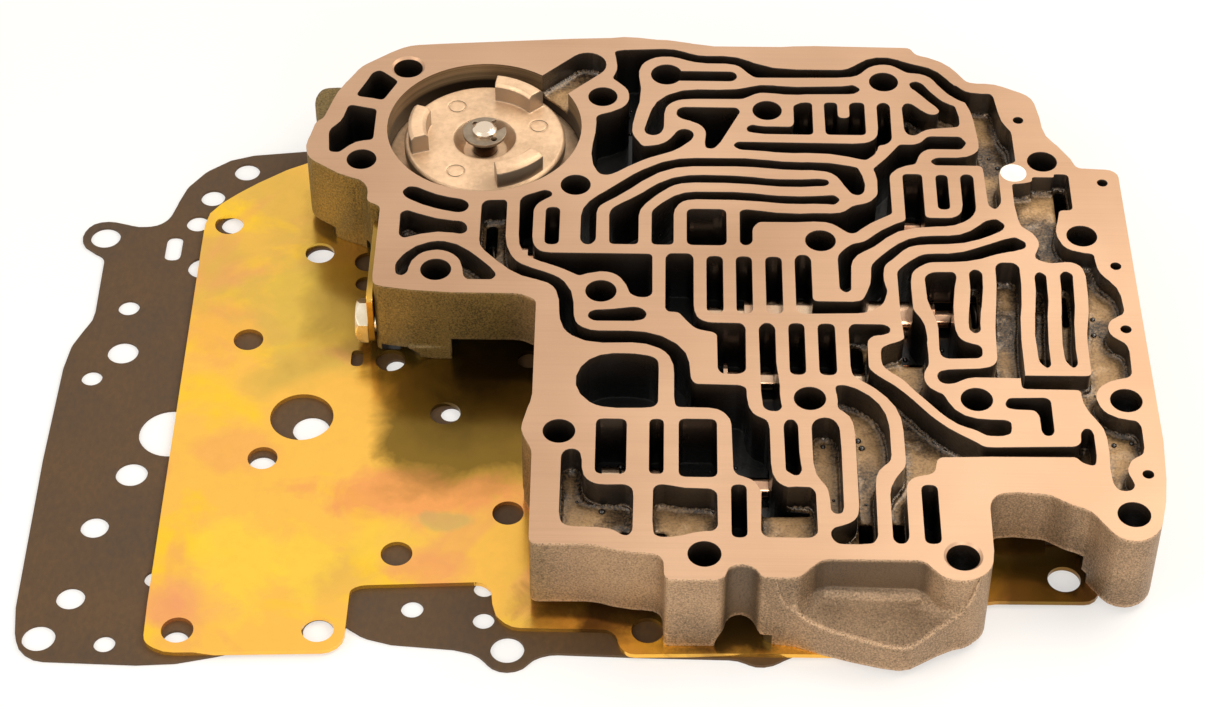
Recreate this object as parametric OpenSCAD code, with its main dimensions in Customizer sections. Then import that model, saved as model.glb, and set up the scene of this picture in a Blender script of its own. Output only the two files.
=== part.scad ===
/* [Stack] */
// Thickness of the gasket
gasket_t = 0.8; // [0.5:0.1:1.2]
// Thickness of the separator plate
plate_t = 1.2; // [0.8:0.1:2]
// Height of the casting, from its feet to the machined face
casting_h = 23; // [22.5:0.5:26]
// Height of the feet under the casting's main wall
foot_h = 3; // [2:0.25:3]

/* [Passages] */
// Depth of the deep passages
deep = 15; // [14:0.5:15.5]
// Depth of the passages with a raised floor
middling = 8; // [6.5:0.25:8]
// Depth of the passages along the right edge
shallow = 6; // [4:0.25:6]
// Corner radius of the passages
corner_r = 1.4; // [0.8:0.1:1.8]
// Diameter of the bolt holes
bolt_hole_d = 7.6; // [6.6:0.1:7.8]

/* [Valves] */
// Diameter of the valve bores
bore_d = 9.2; // [8.8:0.1:9.4]
// Diameter of the bore plugs
plug_d = 12.5; // [11.5:0.1:12.6]
// Diameter of the retaining pins
pin_d = 2.6; // [2:0.1:2.8]
// Radial running clearance of valves and piston
clearance = 0.03; // [0.02:0.01:0.08]
// Wire diameter of the valve springs
valve_wire_d = 1.1; // [0.8:0.1:1.2]

/* [Accumulator] */
// Diameter of the accumulator bore
accumulator_d = 50; // [49:0.5:50.5]
// Diameter of the piston's top disc
disc_d = 41.5; // [40:0.5:44]
// Depth of the disc below the machined face
disc_drop = 4; // [3.5:0.25:4.5]
// Height of the three lugs above the disc
lug_h = 5.5; // [4:0.25:6]
// Diameter of the guide pin
guide_d = 6.2; // [5.6:0.1:6.4]

/* [Cover] */
// Thickness of the cover plate on the left wall
cover_t = 1.6; // [1.2:0.1:2.4]
// Width across the flats of the bolt's head
hex_af = 10; // [9:0.5:11]

/* [Hidden] */
$fn = 48;

// The plan below is drawn about the middle of the view; this is the centre of the whole layout in it
origin = [-2.89, 20.871];

plate_z = gasket_t;
feet_z = plate_z + plate_t;
slab_z = feet_z + foot_h;
face_z = feet_z + casting_h;
through = 100;

// Height of the valve bores' axes, and radii that follow from the driving sizes
bore_z = face_z - 13.4;
bore_r = bore_d / 2;
land_r = bore_r - clearance;
neck_r = 2.6;
plug_r = plug_d / 2;
counterbore_r = plug_r + 0.05;
pin_r = pin_d / 2;
pin_hole_r = pin_r + 0.05;
bolt_r = bolt_hole_d / 2;
boss_r = bolt_r + 4.7;
plug_l = 8;
outside_x = 135;

// Bores along X: the height in plan, then the closed end and the open end
detent_y = 86.9;
low_shift_y = 58.5;
high_shift_y = 26.5;
regulator_y = 4.5;
pressure_y = -30.5;
manual_y = -51.2;
timing_y = 45;
valve_bores = [
    [detent_y, 46.5, outside_x], [low_shift_y, 72.5, outside_x], [high_shift_y, 23, outside_x],
    [regulator_y, 28, outside_x], [pressure_y, -2.4, outside_x], [manual_y, -8, 95], [timing_y, -60, 34.7]
];

// Retaining pins: four at the right edge, one at the upper right corner
detent_pin = [105.3, detent_y];
low_shift_pin = [124.6, 63.1];
high_shift_pin = [124.9, 32.6];
regulator_pin = [125.1, 10.6];
pressure_pin = [125.3, -36.6];
pins = [detent_pin, low_shift_pin, high_shift_pin, regulator_pin, pressure_pin];
pin_foot_z = slab_z + 1;
pin_head_drop = 3;

// The wide bore ends: height in plan and the pin that holds the plug
wide_ends = [
    [low_shift_y, low_shift_pin], [high_shift_y, high_shift_pin],
    [regulator_y, regulator_pin], [pressure_y, pressure_pin]
];

bolt_holes = [
    [23.9, -62.6], [120.8, -49], [-53, 105.4], [122.7, -13.2], [87.8, -13.5], [48.8, -13.9],
    [-9.6, -25.5], [-0.8, 21.5], [53, 40.4], [117.6, 43.3], [-41.3, 28.3], [110.1, 70.9],
    [71.4, 101.6], [40.8, 89.6], [-1.7, 94.3], [-7.9, 59.9], [-62.5, 68.6], [81.5, -62.1]
];
chamfered_holes = [[-53, 105.4], [81.5, -62.1]];
chamfer = 0.6;

accumulator = [-31.9, 82];
accumulator_r = accumulator_d / 2;
accumulator_floor = slab_z + 2.5;
cup_plug = [102.5, 66.5];
cup_plug_r = 3.3;
cup_plug_h = 5;

// Edge of the machined face, clockwise from the left
face_edge = [
    [-77, 75], [-76.3, 77.6], [-75.3, 83], [-73.5, 84.3], [-71.5, 92], [-70, 97], [-67.4, 101],
    [-65.7, 104.8], [-64, 106.4], [-59.5, 110], [-57, 112], [-53, 114.3], [-45, 115.1], [-10, 117.9],
    [0, 118.4], [5.5, 119.2], [10, 118], [18, 117.7], [24.3, 115.4], [45, 115.5], [51, 116.1],
    [79, 115.7], [80.2, 112.9], [85.2, 111.2], [88.1, 109], [90, 106.9], [92.9, 102.1], [94.8, 101.4],
    [99, 101.4], [101.4, 100.7], [109.3, 96.5], [110.7, 90.7], [111.4, 80.7], [116.4, 75],
    [118.6, 68.6], [127.1, 68.1], [128.9, 66.4], [129.3, 25], [130, -32], [128.4, -45], [126.6, -53],
    [124, -56], [120.5, -57.2], [116.6, -56], [113.6, -51.6], [111.4, -47.9], [105.7, -45.7],
    [102.9, -43.3], [93.6, -42.4], [90, -43.6], [88.5, -46.4], [88.4, -62], [87.6, -65.5], [85.4, -68],
    [82, -69.4], [79.4, -69.2], [77, -68.5], [75.5, -67], [73, -64], [71.5, -63.5], [50.6, -63.5],
    [48, -65.4], [46, -68], [44.5, -69], [38.6, -69.2], [36.4, -68.8], [35.4, -66.6], [33.4, -65.5],
    [30.9, -65.5], [29.1, -66.6], [28.5, -69], [27, -70], [15, -70.2], [14.8, -64.6], [13.6, -63],
    [11.4, -62.4], [5.7, -62.1], [1, -60.6], [-1.4, -60], [-15.4, -60.2], [-15.7, -31.4], [-17.1, -28.6],
    [-18.6, -25], [-17.1, -18], [-16.2, -15], [-16.4, 17.9], [-20, 20.3], [-37, 20.3], [-47, 21],
    [-54.6, 22.2], [-56.2, 23], [-56.6, 25], [-56.5, 51], [-60, 52.9], [-60, 57.9], [-62.1, 61], [-66.4, 62.1],
    [-75.7, 68.6], [-77, 72]
];
// Rough lobe at the upper left, lower than the face
side_lobe = [[-75.4, 86], [-76.6, 92], [-77, 97], [-75.4, 101], [-69, 101.6], [-65, 99], [-70, 84]];
// Scooped ledge at the front, along X: its front edge, the wall behind it and the drop of its rim
ledge_front = [
    [37.6, -68], [39.6, -69.2], [44.8, -70], [51, -72.3], [58, -74.4], [64, -75.9], [68, -76.5], [70.5, -76],
    [77, -72], [80.2, -70.4], [83, -69.6], [85.4, -68], [87, -65]
];
ledge_wall = [
    [37.6, -68], [44.8, -68.8], [48.4, -65.2], [50, -63.8], [73, -63.4], [74.8, -65.8], [77.8, -68],
    [81.7, -69.2], [87, -65]
];
ledge_drop = [
    [37.6, 0.5], [39.6, 0.5], [40.2, 3.6], [41, 7], [42, 9.4], [43.2, 10.8], [44.8, 11.4], [68, 11.6],
    [80.2, 11.6], [81.4, 11], [82.4, 9.6], [83.3, 7], [84, 3.6], [84.8, 0.5], [87, 0.5]
];
ledge_columns = [
    37.6, 39.6, 40.2, 41, 42, 43.2, 44.8, 46.6, 48.4, 51, 54, 58, 61, 64, 66, 68, 69.2, 70.5, 72.4, 74.8, 77,
    78.6, 80.2, 81.4, 82.4, 83.3, 84, 84.8, 87
];
ledge_back_y = -60;
ledge_fillet = 3.4;
ledge_slope = 0.28;
ledge_least_drop = 0.4;
ledge_least_depth = 0.6;
// The leg to the left of the ledge
leg_edge = [[15, -70.2], [27, -70], [28.4, -68.6], [28.4, -58], [15, -58]];
// Pad under the left wall, seen from the front as X and Z, and its reach along Y
left_pad = [
    [-49, slab_z + 1], [-46.6, slab_z - 0.6], [-43.6, feet_z], [-39.4, feet_z], [-37.6, feet_z + 1.6],
    [-37.6, slab_z + 1]
];
left_pad_reach = [20.4, 32];
// Ribs under the bores at the right, the foot under the left wall, and the wall around the accumulator
bore_rib_x = 104;
bore_rib_w = 16;
left_foot = [[-57, 22.5], [-50, 52.5]];
accumulator_wall = 2.5;
// Hollows of the underside: low corner, high corner and top
left_hollow = [[-37.6, 14], [-15.6, 36]];
left_hollow_z = face_z - 16;
hollow_wall = 1.6;
notch_hollow = [[89.6, -52], [111.2, -38.6]];
notch_hollow_z = face_z - 15.5;
arch = [32.2, -72];
arch_r = 5.6;
arch_l = 14;

// Deep passages, each as its outline
deep_passages = [
    // Pockets at the upper left
    [[-60.3, 104], [-58, 102.2], [-55.2, 99.4], [-58.6, 91.8], [-61.6, 92.6], [-66, 93.4], [-63.4, 99.6],
     [-62.2, 103]],
    [[-67.4, 90], [-60, 88.2], [-60.1, 76.2], [-64.6, 75.5], [-68.4, 71.2], [-71, 71.3], [-71.8, 80],
     [-68.8, 83.2]],
    // Long passage along the top edge
    [[1, 112.8], [2.8, 113.5], [15.2, 114.2], [18.2, 113.6], [22.9, 111.4], [31.4, 111.5], [35, 110.4],
     [40, 107.4], [46, 106.3], [61, 106.3], [63.4, 107.4], [65.8, 109.8], [68.6, 111.4], [71.4, 111.8],
     [74.4, 111.4], [78.1, 109.3], [81.9, 108.3], [84.8, 106.9], [87.2, 104.3], [89.6, 100.5], [92, 98.4],
     [92.6, 93.4], [91.4, 94], [89, 95.7], [86.2, 99], [83.8, 103.6], [81, 105.2], [77.6, 105.3],
     [75.7, 107.1], [73.4, 108.6], [70.4, 108.7], [67.6, 107.4], [64.8, 103.8], [61, 103.1], [46.7, 102.8],
     [38, 102.7], [36.6, 103.8], [33.8, 107.4], [31.4, 108.3], [23.8, 108.3], [20.5, 109.3], [17.1, 110.7],
     [14.8, 111], [11.8, 110.6], [9, 108.6], [7.8, 106.2], [7.5, 103.8], [8.5, 95], [7.1, 89], [6, 82.4],
     [6.2, 79.5], [8.8, 75], [12.9, 75.6], [15.2, 77.1], [16.7, 79.5], [17.7, 81.4], [19.6, 82.1],
     [21.4, 81.2], [22, 79.5], [21.3, 77.6], [17.6, 73.8], [15.2, 72.6], [10.5, 70.5], [6.7, 68.3],
     [1.9, 64.5], [0, 63.7], [-1.8, 64], [-3.3, 66.2], [-4.2, 70], [-4.2, 74], [-3.1, 81.9], [-3.3, 86.2],
     [-2.4, 87.2], [1.9, 88.8], [4.3, 91], [5.2, 93.4], [4.9, 97.1], [2.9, 99.6], [0.6, 101.8],
     [1.9, 105.2], [1.7, 108.6]],
    // Channel below it
    [[9.1, 81.4], [10.5, 87.6], [11.4, 91], [13.3, 94], [17.1, 96.7], [21, 97.7], [30.5, 97.7], [34.8, 98.3],
     [37.6, 99.5], [41, 100], [46.2, 99.1], [61.4, 99.7], [63.4, 100.4], [65.5, 98.4], [63.6, 96.5],
     [51, 96.2], [47.1, 95.8], [42.9, 96.4], [39, 96.7], [36.7, 95.5], [34.8, 94], [20.5, 93.8],
     [17.6, 93.3], [15.2, 91.4], [14.3, 89], [14.2, 81.9], [13.2, 79.8], [11.4, 79.1], [9.6, 79.9]],
    // Wedge pocket
    [[17.6, 89.6], [19, 90.6], [33, 90.6], [33.9, 89], [28.3, 76], [26.8, 74.3], [25, 74.5], [24.6, 76],
     [25, 81], [24, 83.1], [21.9, 84.8], [18.6, 85.9], [17.3, 87.4]],
    // Ports of the detent valve
    [[36.9, 84], [39, 83.3], [46.9, 83.3], [47.6, 84.6], [47.6, 91.5], [49.5, 93], [52.5, 93], [52.5, 80.2],
     [38.6, 80.3], [35.5, 81.2], [35.4, 83]],
    [[55.5, 93.1], [59, 93.1], [59, 87], [62, 87], [62, 92.2], [63, 93.2], [66, 93.2], [66, 80.3],
     [55.6, 80.3]],
    [[69.1, 92], [70.2, 93.2], [71.6, 93.2], [72.6, 92], [72.5, 78.4], [70.7, 76.6], [69, 76.4],
     [68.6, 74.4], [68, 73], [65.6, 70.6], [63.8, 71], [59, 72.5], [53.3, 73.2], [44.8, 72.9], [40, 73.6],
     [33.3, 74.1], [31.8, 75.7], [32.9, 77.2], [63.8, 77], [66.7, 77.6], [68.6, 79.5], [69.1, 82]],
    // Long bent channel in the middle
    [[33.1, 39.4], [34, 38.4], [35.2, 38.4], [36.3, 39.6], [36.3, 44.8], [38, 46.9], [49, 47], [53, 47.5],
     [56.2, 46.7], [58.6, 44.5], [60.2, 43.1], [61.9, 43.3], [64.3, 46], [67.6, 48.3], [71.2, 50.6],
     [71.2, 64.8], [72.4, 66.7], [74.3, 68.3], [78.1, 69.4], [78.6, 71.4], [79.5, 73.6], [81.4, 75.2],
     [90, 75.2], [91.5, 77.7], [90, 80.2], [82, 80.2], [80.8, 79.3], [80, 77.9], [78.1, 76.9], [74.3, 76.9],
     [70.5, 71.4], [67.1, 67.3], [68, 64.5], [67.9, 57.9], [66.9, 56], [65.2, 54.5], [61.2, 53.3],
     [59.5, 51.2], [57, 50.4], [53.3, 50.6], [45.2, 50], [39, 51], [34.6, 51.6], [33.2, 50.8]],
    // Curved slots at the left
    [[-51.4, 56.6], [-50, 58.5], [-47.9, 58.5], [-44.3, 56.4], [-41, 55], [-36, 54], [-34.5, 52.6],
     [-34.3, 51], [-35.2, 49.5], [-36.7, 49], [-39.5, 49.5], [-44.3, 51], [-47.6, 52.6], [-50.6, 54.6]],
    // Passage that snakes from the timing valve down to the pressure valve
    [[-27.6, 33.4], [-25.6, 35.4], [-23.9, 35.4], [-21.9, 31.7], [-19, 29.8], [-14.8, 28.1], [-11, 26.2],
     [-8.6, 23.1], [-7.4, 19.3], [-7.1, 12], [-6.2, 9.8], [-4, 8.3],
     [-2, 7.8], [8, 7.9], [12, 7.2], [16, 5.2], [19, 2.2], [20.5, -1], [21, -8], [22, -9.6], [32.6, -9.8],
     [34, -10.8], [34.1, -15], [34.8, -18], [36, -19.6], [38.6, -21], [39.2, -23], [39.3, -36],
     [39.8, -39], [41, -41], [43, -42.2], [48.2, -42.8], [48.6, -44], [37.2, -44.4], [36.4, -42.5],
     [35.5, -40.5], [33.5, -39.2], [31.5, -38.6], [30.6, -37], [30.3, -21.8], [29.6, -20], [28, -18.2],
     [26, -17.4], [17.5, -17.3], [17, -15], [17, -5], [16.6, -2], [15, 1], [12, 3], [8.6, 3.9], [-2, 3.6],
     [-6, 4.9], [-8.7, 7], [-10.3, 10], [-10.7, 14], [-11, 19.8], [-12.4, 23.1], [-15.2, 25],
     [-18.6, 25.7], [-21.9, 27.4], [-25, 30]],
    // Ports of the timing valve
    [[-21.7, 54], [-20.5, 55.7], [-15.5, 58], [-13.8, 57.2], [-13.6, 55.7], [-15.2, 54.5], [-17.1, 52.9],
     [-18.1, 50.7], [-18.1, 39.8], [-17.6, 37.4], [-16.2, 35.5], [-14.3, 34.9], [11.6, 34.9], [11.7, 20.6],
     [10.5, 19.5], [8.3, 19.4], [6.2, 20.6], [5.7, 22.6], [4.8, 25], [2.9, 27.4], [0.5, 28.4], [-2.9, 28.2],
     [-6.2, 26.7], [-10, 29], [-13.3, 30.7], [-17.1, 32.1], [-19.5, 34], [-21, 36.4], [-21.5, 39.8]],
    [[-6.3, 49.8], [-5.2, 52.6], [-3.3, 55.2], [-0.5, 57.6], [2.9, 60.8], [6.7, 64.3], [11, 67.6], [16.2, 70],
     [20.5, 70.7], [34.8, 70.8], [41, 70.2], [46.7, 69.4], [53.3, 69.8], [59, 69], [63.3, 67.8], [64.8, 63.3],
     [64.9, 60], [64.3, 58], [63, 57.2], [61.4, 57.7], [59.3, 61.4], [58.6, 63.3], [56.7, 65.6], [53.3, 66.6],
     [46.7, 66.4], [41.9, 66.9], [37.1, 67.4], [32.4, 67.6], [19.5, 67.4], [15.2, 66.2], [10.5, 63.3],
     [4.3, 57], [-0.2, 53.5], [-1.6, 52.3], [-2.4, 50.5], [-2.4, 39.5], [-3.6, 38], [-5.2, 38],
     [-6.3, 39.5]],
    [[0.7, 49.6], [1.4, 51.3], [3.3, 53.1], [7.6, 56], [11, 59.3], [14.3, 62.1], [18.6, 63.8], [22.4, 64.3],
     [34.3, 64.1], [40, 63.2], [46.2, 62.8], [53.8, 63.4], [55.6, 62.9], [56, 61.6], [55, 60.6], [51.9, 60.4],
     [46.2, 59.9], [40, 60.5], [32.9, 61.3], [20.5, 61.3], [17.1, 60.5], [14.3, 58.3], [11, 54.8], [9, 52.1],
     [8.1, 49.8], [8.1, 38.2], [0.9, 38.2]],
    [[11.3, 50.4], [12.4, 52], [15.2, 55], [18.1, 57.1], [21, 57.9], [34.3, 58], [40, 57.1], [45.7, 56.5],
     [51.9, 56.8], [57, 57.3], [58.6, 55.5], [57, 53.6], [53.3, 54], [47.1, 53.6], [42.4, 54], [35.2, 54.9],
     [21.4, 55], [19, 54.3], [17.4, 52.2], [16.8, 50.2], [16.8, 38.2], [11.3, 38.2]],
    // Channel from the high shift valve to the regulator valve
    [[14.8, 33.8], [15.8, 35.2], [20.7, 35.2], [21.7, 33.8], [21.7, 17], [22, 14], [23, 12.2], [25, 11.1],
     [33, 11], [34.1, 9.6], [34, -5], [32.6, -6.2], [28.4, -6.2], [27.3, -4.8], [27.2, 7], [26, 7.9],
     [24, 8.2], [22, 9], [20.3, 11], [19, 13], [18, 14.4], [15.5, 14.6], [14.8, 15.6]],
    // Hooked channel from the high shift valve
    [[46.4, 33.6], [47.4, 35.2], [49.5, 35.2], [50.5, 33.6], [50.5, 18.9], [61, 18.9], [62.6, 19.6],
     [64.2, 23.6], [64.9, 26.5], [64.9, 29.3], [65.2, 32.1], [67.1, 34.5], [70.5, 38.3], [73.3, 40.7],
     [76.2, 42.1], [79.5, 42.7], [86.2, 42.9], [89, 43.8], [91.9, 46], [94.3, 48.6], [97, 49.2], [99, 47],
     [98.3, 45], [95.2, 43.1], [90.5, 40.7], [86.2, 39.8], [79.5, 39.5], [75.7, 39], [73.8, 37.9],
     [70.5, 34], [68.6, 32.1], [68, 29.8], [68, 25.4], [68.8, 23], [67.6, 18.4], [65.6, 16.4], [62.6, 14.9],
     [47.6, 14.4], [46.4, 15.6]],
    // Forked channel to the low shift valve
    [[57.1, 23.2], [58.6, 21.9], [59.9, 22.8], [60.3, 32.4], [61.2, 34.5], [62.9, 36.4], [65.2, 37.6],
     [67.6, 39.8], [70.5, 43.1], [74.3, 45], [79.5, 46], [85.2, 46.2], [87.6, 47.1], [90.5, 49], [92.2, 52],
     [92.3, 64.6], [91.4, 65.7], [89.8, 65.7], [88.9, 64.6], [88.9, 53], [88, 50.6], [86, 49.3], [79.4, 49.3],
     [79.4, 65.6], [74.4, 65.6], [74.4, 48.2], [70, 46], [66.7, 43.1], [63.8, 40.2], [61, 39.5], [59.5, 38.3],
     [57.6, 36], [57, 34.5]],
    // Channel from the shift valves to the right
    [[74.6, 16.4], [74.5, 24], [74.6, 27.4], [75.2, 29.8], [77.6, 32.1], [79.5, 33.1], [85.2, 33.3],
     [90.5, 33.8], [94.3, 35.5], [97.6, 36.9], [101.4, 37.6], [103.5, 38.8], [103.6, 40.7], [101.2, 42.6],
     [99, 42.1], [95.7, 40.5], [90, 37.9], [86.2, 36.4], [80.5, 36.3], [78.1, 36], [75.7, 34.5],
     [72.4, 31.2], [71.3, 29.6], [71.4, 13], [71.9, 9], [71.8, 4.6], [77.4, 4.6], [77.4, 9], [76.8, 12.4],
     [75.6, 14.6]],
    [[77.9, 28], [79.8, 29.7], [85.2, 29.8], [85.8, 28.2], [84.4, 21], [84.2, 12], [84.4, 8.6], [85.4, 6.4],
     [87.4, 5.1], [89.4, 4.7], [90.3, 3.6], [90.2, 1], [89.2, 0.1], [82, -0.2], [80.6, 0.4], [80, 2],
     [80.2, 10], [79.9, 14], [78.2, 18]],
    // Round-ended slot and the large pocket below it
    [[-3.9, 12.4], [-3.5, 14.2], [-2, 15], [1, 15.1], [7.4, 16.2], [9.4, 15.6], [10.5, 13.8], [9.9, 12],
     [8, 11.2], [-2.4, 11.1]],
    [[4, 0.3], [9, 0.1], [12, -0.8], [13.2, -2], [13.4, -4], [13.3, -16], [12.4, -17.3], [10.5, -17.7],
     [2, -17.9], [-1.5, -17], [-4, -15], [-5.8, -12], [-6.3, -9], [-5.8, -6], [-4.2, -3], [-2, -1], [1, 0.1]],
    [[37.2, 9.6], [38.6, 11.2], [40, 11.1], [41.2, 9.6], [41.2, -4], [41.9, -8], [41.8, -14], [42.3, -17],
     [41.2, -18.3], [39, -18.1], [37.8, -17], [37.4, -12]],
    [[94.3, -14.8], [95.2, -12.9], [104, -12.6], [105.1, -13.6], [105.1, -23.8], [104.2, -25],
     [102.8, -24.9], [102.1, -23.6], [102, -18.4], [101, -16.8], [96, -16.6], [94.6, -16]],
    [[42.4, -22.4], [43.4, -20.8], [44.8, -20.8], [45.8, -22.4], [45.9, -33], [46.4, -36.8], [45.6, -38.4],
     [44.5, -38.5], [42.6, -37]]
];

// Passages with a raised floor
middling_passages = [
    // Channel down the right of the long top passage
    [[89.6, 101.2], [92.4, 98.1], [95.2, 97.4], [98.8, 97.4], [99.6, 96.2], [100.5, 88.6], [101.4, 85],
     [103.2, 82.6], [103.4, 70.6], [100.5, 69.4], [98.7, 66.5], [98.7, 55], [97, 52.5], [95.3, 54], [95, 66],
     [94.8, 69], [82.9, 69], [81.7, 70.5], [83.2, 72], [90, 72.1], [92.4, 73], [94.2, 74.8], [94.6, 77],
     [93.8, 86.7], [92.9, 91.9], [91.4, 95], [89.4, 98]],
    [[75.6, 91.6], [76.7, 93.2], [78.2, 93], [81, 90], [82.5, 88.8], [84.4, 88.8], [85.3, 90], [84.8, 91.4],
     [81.9, 94.8], [80.4, 97.2], [78.2, 99.4], [78, 101.3], [79.8, 102.1], [81.4, 101.2], [84.3, 96.2],
     [87.1, 93.3], [89.4, 92.3], [90.4, 86.7], [89.9, 84], [81.4, 82.9], [78.6, 80.4], [76.8, 80.6],
     [75.8, 82.4]],
    [[-51.3, 48.6], [-49.8, 49.8], [-44.8, 47.6], [-40, 46.2], [-35.7, 45.9], [-34.3, 44.2], [-34.4, 42],
     [-35.7, 41.1], [-39.5, 41.9], [-43.8, 41.7], [-50, 39.4], [-51.2, 40.6]],
    // Arch around a bolt hole
    [[-51.4, 29.8], [-50.5, 32.1], [-48.1, 35.5], [-45.2, 37.6], [-41.4, 38.7], [-38.1, 38.2], [-34.8, 36.4],
     [-31.4, 33.1], [-27.4, 28.8], [-26.4, 26.6], [-27.4, 25], [-33.6, 25], [-34.5, 26.2], [-35, 30.2],
     [-36.2, 32.9], [-38.6, 34.8], [-41.4, 35.5], [-44.8, 34.5], [-46.7, 32.6], [-47.9, 30.2], [-48.1, 27.2],
     [-49.4, 25.9], [-51, 26.5]],
    // Pocket below the shift valves
    [[72.6, 8], [71.6, 6], [69.5, 5], [67.5, 4.2], [66.2, 3], [66, 0.6], [66.2, -2.6], [67.6, -4.6],
     [70, -6.4], [71.6, -8.2], [73, -10.4], [74.8, -12.6], [77.5, -16], [79.5, -18.6], [81.6, -20.6],
     [84, -22.4], [86.6, -23.2], [88, -24.2], [89.4, -25.2], [93, -25.3], [95, -24.4], [95.4, -22],
     [95.2, -20.6], [94, -20], [89, -19.9], [86, -19.4], [83.5, -18], [81.6, -15.6], [80.6, -13], [80, -11.8],
     [78, -10.8], [76.4, -9], [75.8, -6.4], [76.3, -4], [77.2, -2.6], [77.4, 0], [77.2, 7]],
    // Wide slot at the right, with its foot to the left
    [[95.4, 32], [96.6, 33.4], [100, 33.4], [101.3, 32], [101.3, 22], [100.2, 14], [99.8, 6], [99.8, -6.4],
     [92, -6.3], [87, -6.3], [85.2, -7], [83, -8.4], [80.8, -8.6], [79.4, -7.8], [78.9, -6], [79.4, -4.6],
     [81, -3.8], [90.4, -3.2], [92.6, -2.2], [93.6, -0.4], [93.7, 5], [94, 14], [95.2, 22]],
    // Long passage from the regulator valve to the right
    [[58.7, 9.8], [59.8, 11.2], [67.4, 11.2], [68.8, 10], [68.6, 8.4], [67, 7.5], [64.6, 7.3], [63.1, 5.6],
     [63, -3.4], [63.8, -4.8], [66, -7], [67.8, -8.3], [70, -10.4], [73, -14], [76.5, -18.6], [79.2, -21.6],
     [82, -24], [85, -26], [87, -27.4], [88.4, -28.6], [90, -28.8], [109.6, -28.2], [110.9, -27],
     [111.1, -23.8], [112.2, -22.4], [113.4, -22.5], [114.1, -24], [114.1, -32], [113.4, -34.4],
     [110.6, -33.4], [109.4, -31.6], [90, -31.8], [78.4, -32.2], [77.4, -33], [76.8, -36.4], [75.8, -37.5],
     [72, -38.4], [70.4, -40], [69.9, -42], [69.8, -57], [68.9, -58.7], [67.2, -58.8], [66.1, -57.6],
     [66.1, -43], [66.8, -40.6], [68.4, -37.5], [70, -35.5], [70.2, -33], [70.1, -22], [69.4, -18],
     [67.8, -14.6], [65.6, -11.8], [63, -9.2], [60.6, -7.6], [59, -6], [58.7, -3]],
    [[55, -9.6], [56.5, -9.3], [58.6, -9.8], [61.6, -11.6], [64, -14], [65.8, -17], [66.8, -20.6], [67, -24],
     [67, -32.5], [66.4, -34], [64.6, -35.6], [63.5, -37.4], [63, -40], [62.8, -57], [61.6, -58.8],
     [57, -59.3], [53.6, -59], [52.4, -57.4], [52.2, -55.6], [53, -54.2], [55, -53.5], [57, -52.6],
     [58.4, -51], [58.9, -48.6], [58.9, -24], [58.4, -20.6], [57.2, -18.6], [55.4, -17.2], [55.1, -16.2],
     [55.4, -13.6], [54.8, -11.2]],
    [[48.9, -22.6], [49.8, -20.8], [52, -19.8], [54.2, -20.6], [55.4, -23], [55.6, -30], [55.5, -48.6],
     [54.9, -50], [53.4, -50.1], [52.5, -49], [52.4, -44.6], [51.8, -41.6], [50, -39.4], [49, -36],
     [48.9, -30]],
    // Wavy slots at the right
    [[88.8, 29.6], [90, 30.8], [91.2, 30.6], [92.1, 29.4], [91.8, 21], [90.4, 14], [90.4, 9.4], [89, 8.3],
     [87.6, 9.6], [87.6, 15], [88.8, 21]],
    [[104.7, 29], [106, 30.4], [107.6, 29], [107.4, 20], [106.2, 10], [106.2, -2], [105.2, -3], [103.4, -1],
     [103.1, 12], [104.6, 20]],
    [[110.9, 29.4], [112.4, 30.8], [114.1, 29.4], [113.6, 18], [112.4, 8], [112.6, -1.6], [111.4, -2.9],
     [109.6, -0.6], [109.4, 10], [110.8, 20]],
    // Head of the passage from the timing valve
    [[-31.2, 52.4], [-30, 53.8], [-25.4, 54], [-24.8, 53], [-24.7, 39], [-23.8, 35.5], [-22.6, 32.8],
     [-25, 30], [-30.5, 36.2], [-31.2, 38.3]],
    // Pockets of the manual valve
    [[-8.9, -33], [-8, -31.4], [-6.3, -30.9], [-4.8, -31.6], [-4.1, -33.6], [-4, -38], [-3, -40.4],
     [-1, -41.8], [1, -42.1], [6, -41.9], [7.6, -43], [7.9, -45], [7.8, -56], [6.8, -57.5], [5.4, -57.3],
     [3.6, -55.8], [1, -55.1], [-6.6, -54.9], [-8.2, -54], [-8.9, -51.6]],
    [[12.3, -43], [13.4, -41.8], [16, -41.8], [18.4, -42.7], [25.6, -42.9], [26.9, -44.2], [27, -54.4],
     [26, -55.7], [23, -55.9], [20.6, -56.6], [18, -57.6], [14, -57.8], [12.6, -57], [12.2, -54]],
    [[36.9, -43.4], [36.6, -56], [37.8, -57.4], [48, -57.4], [49.4, -56], [49.3, -43.5], [48.2, -42],
     [43, -41.8], [39, -42.8]]
];

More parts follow.
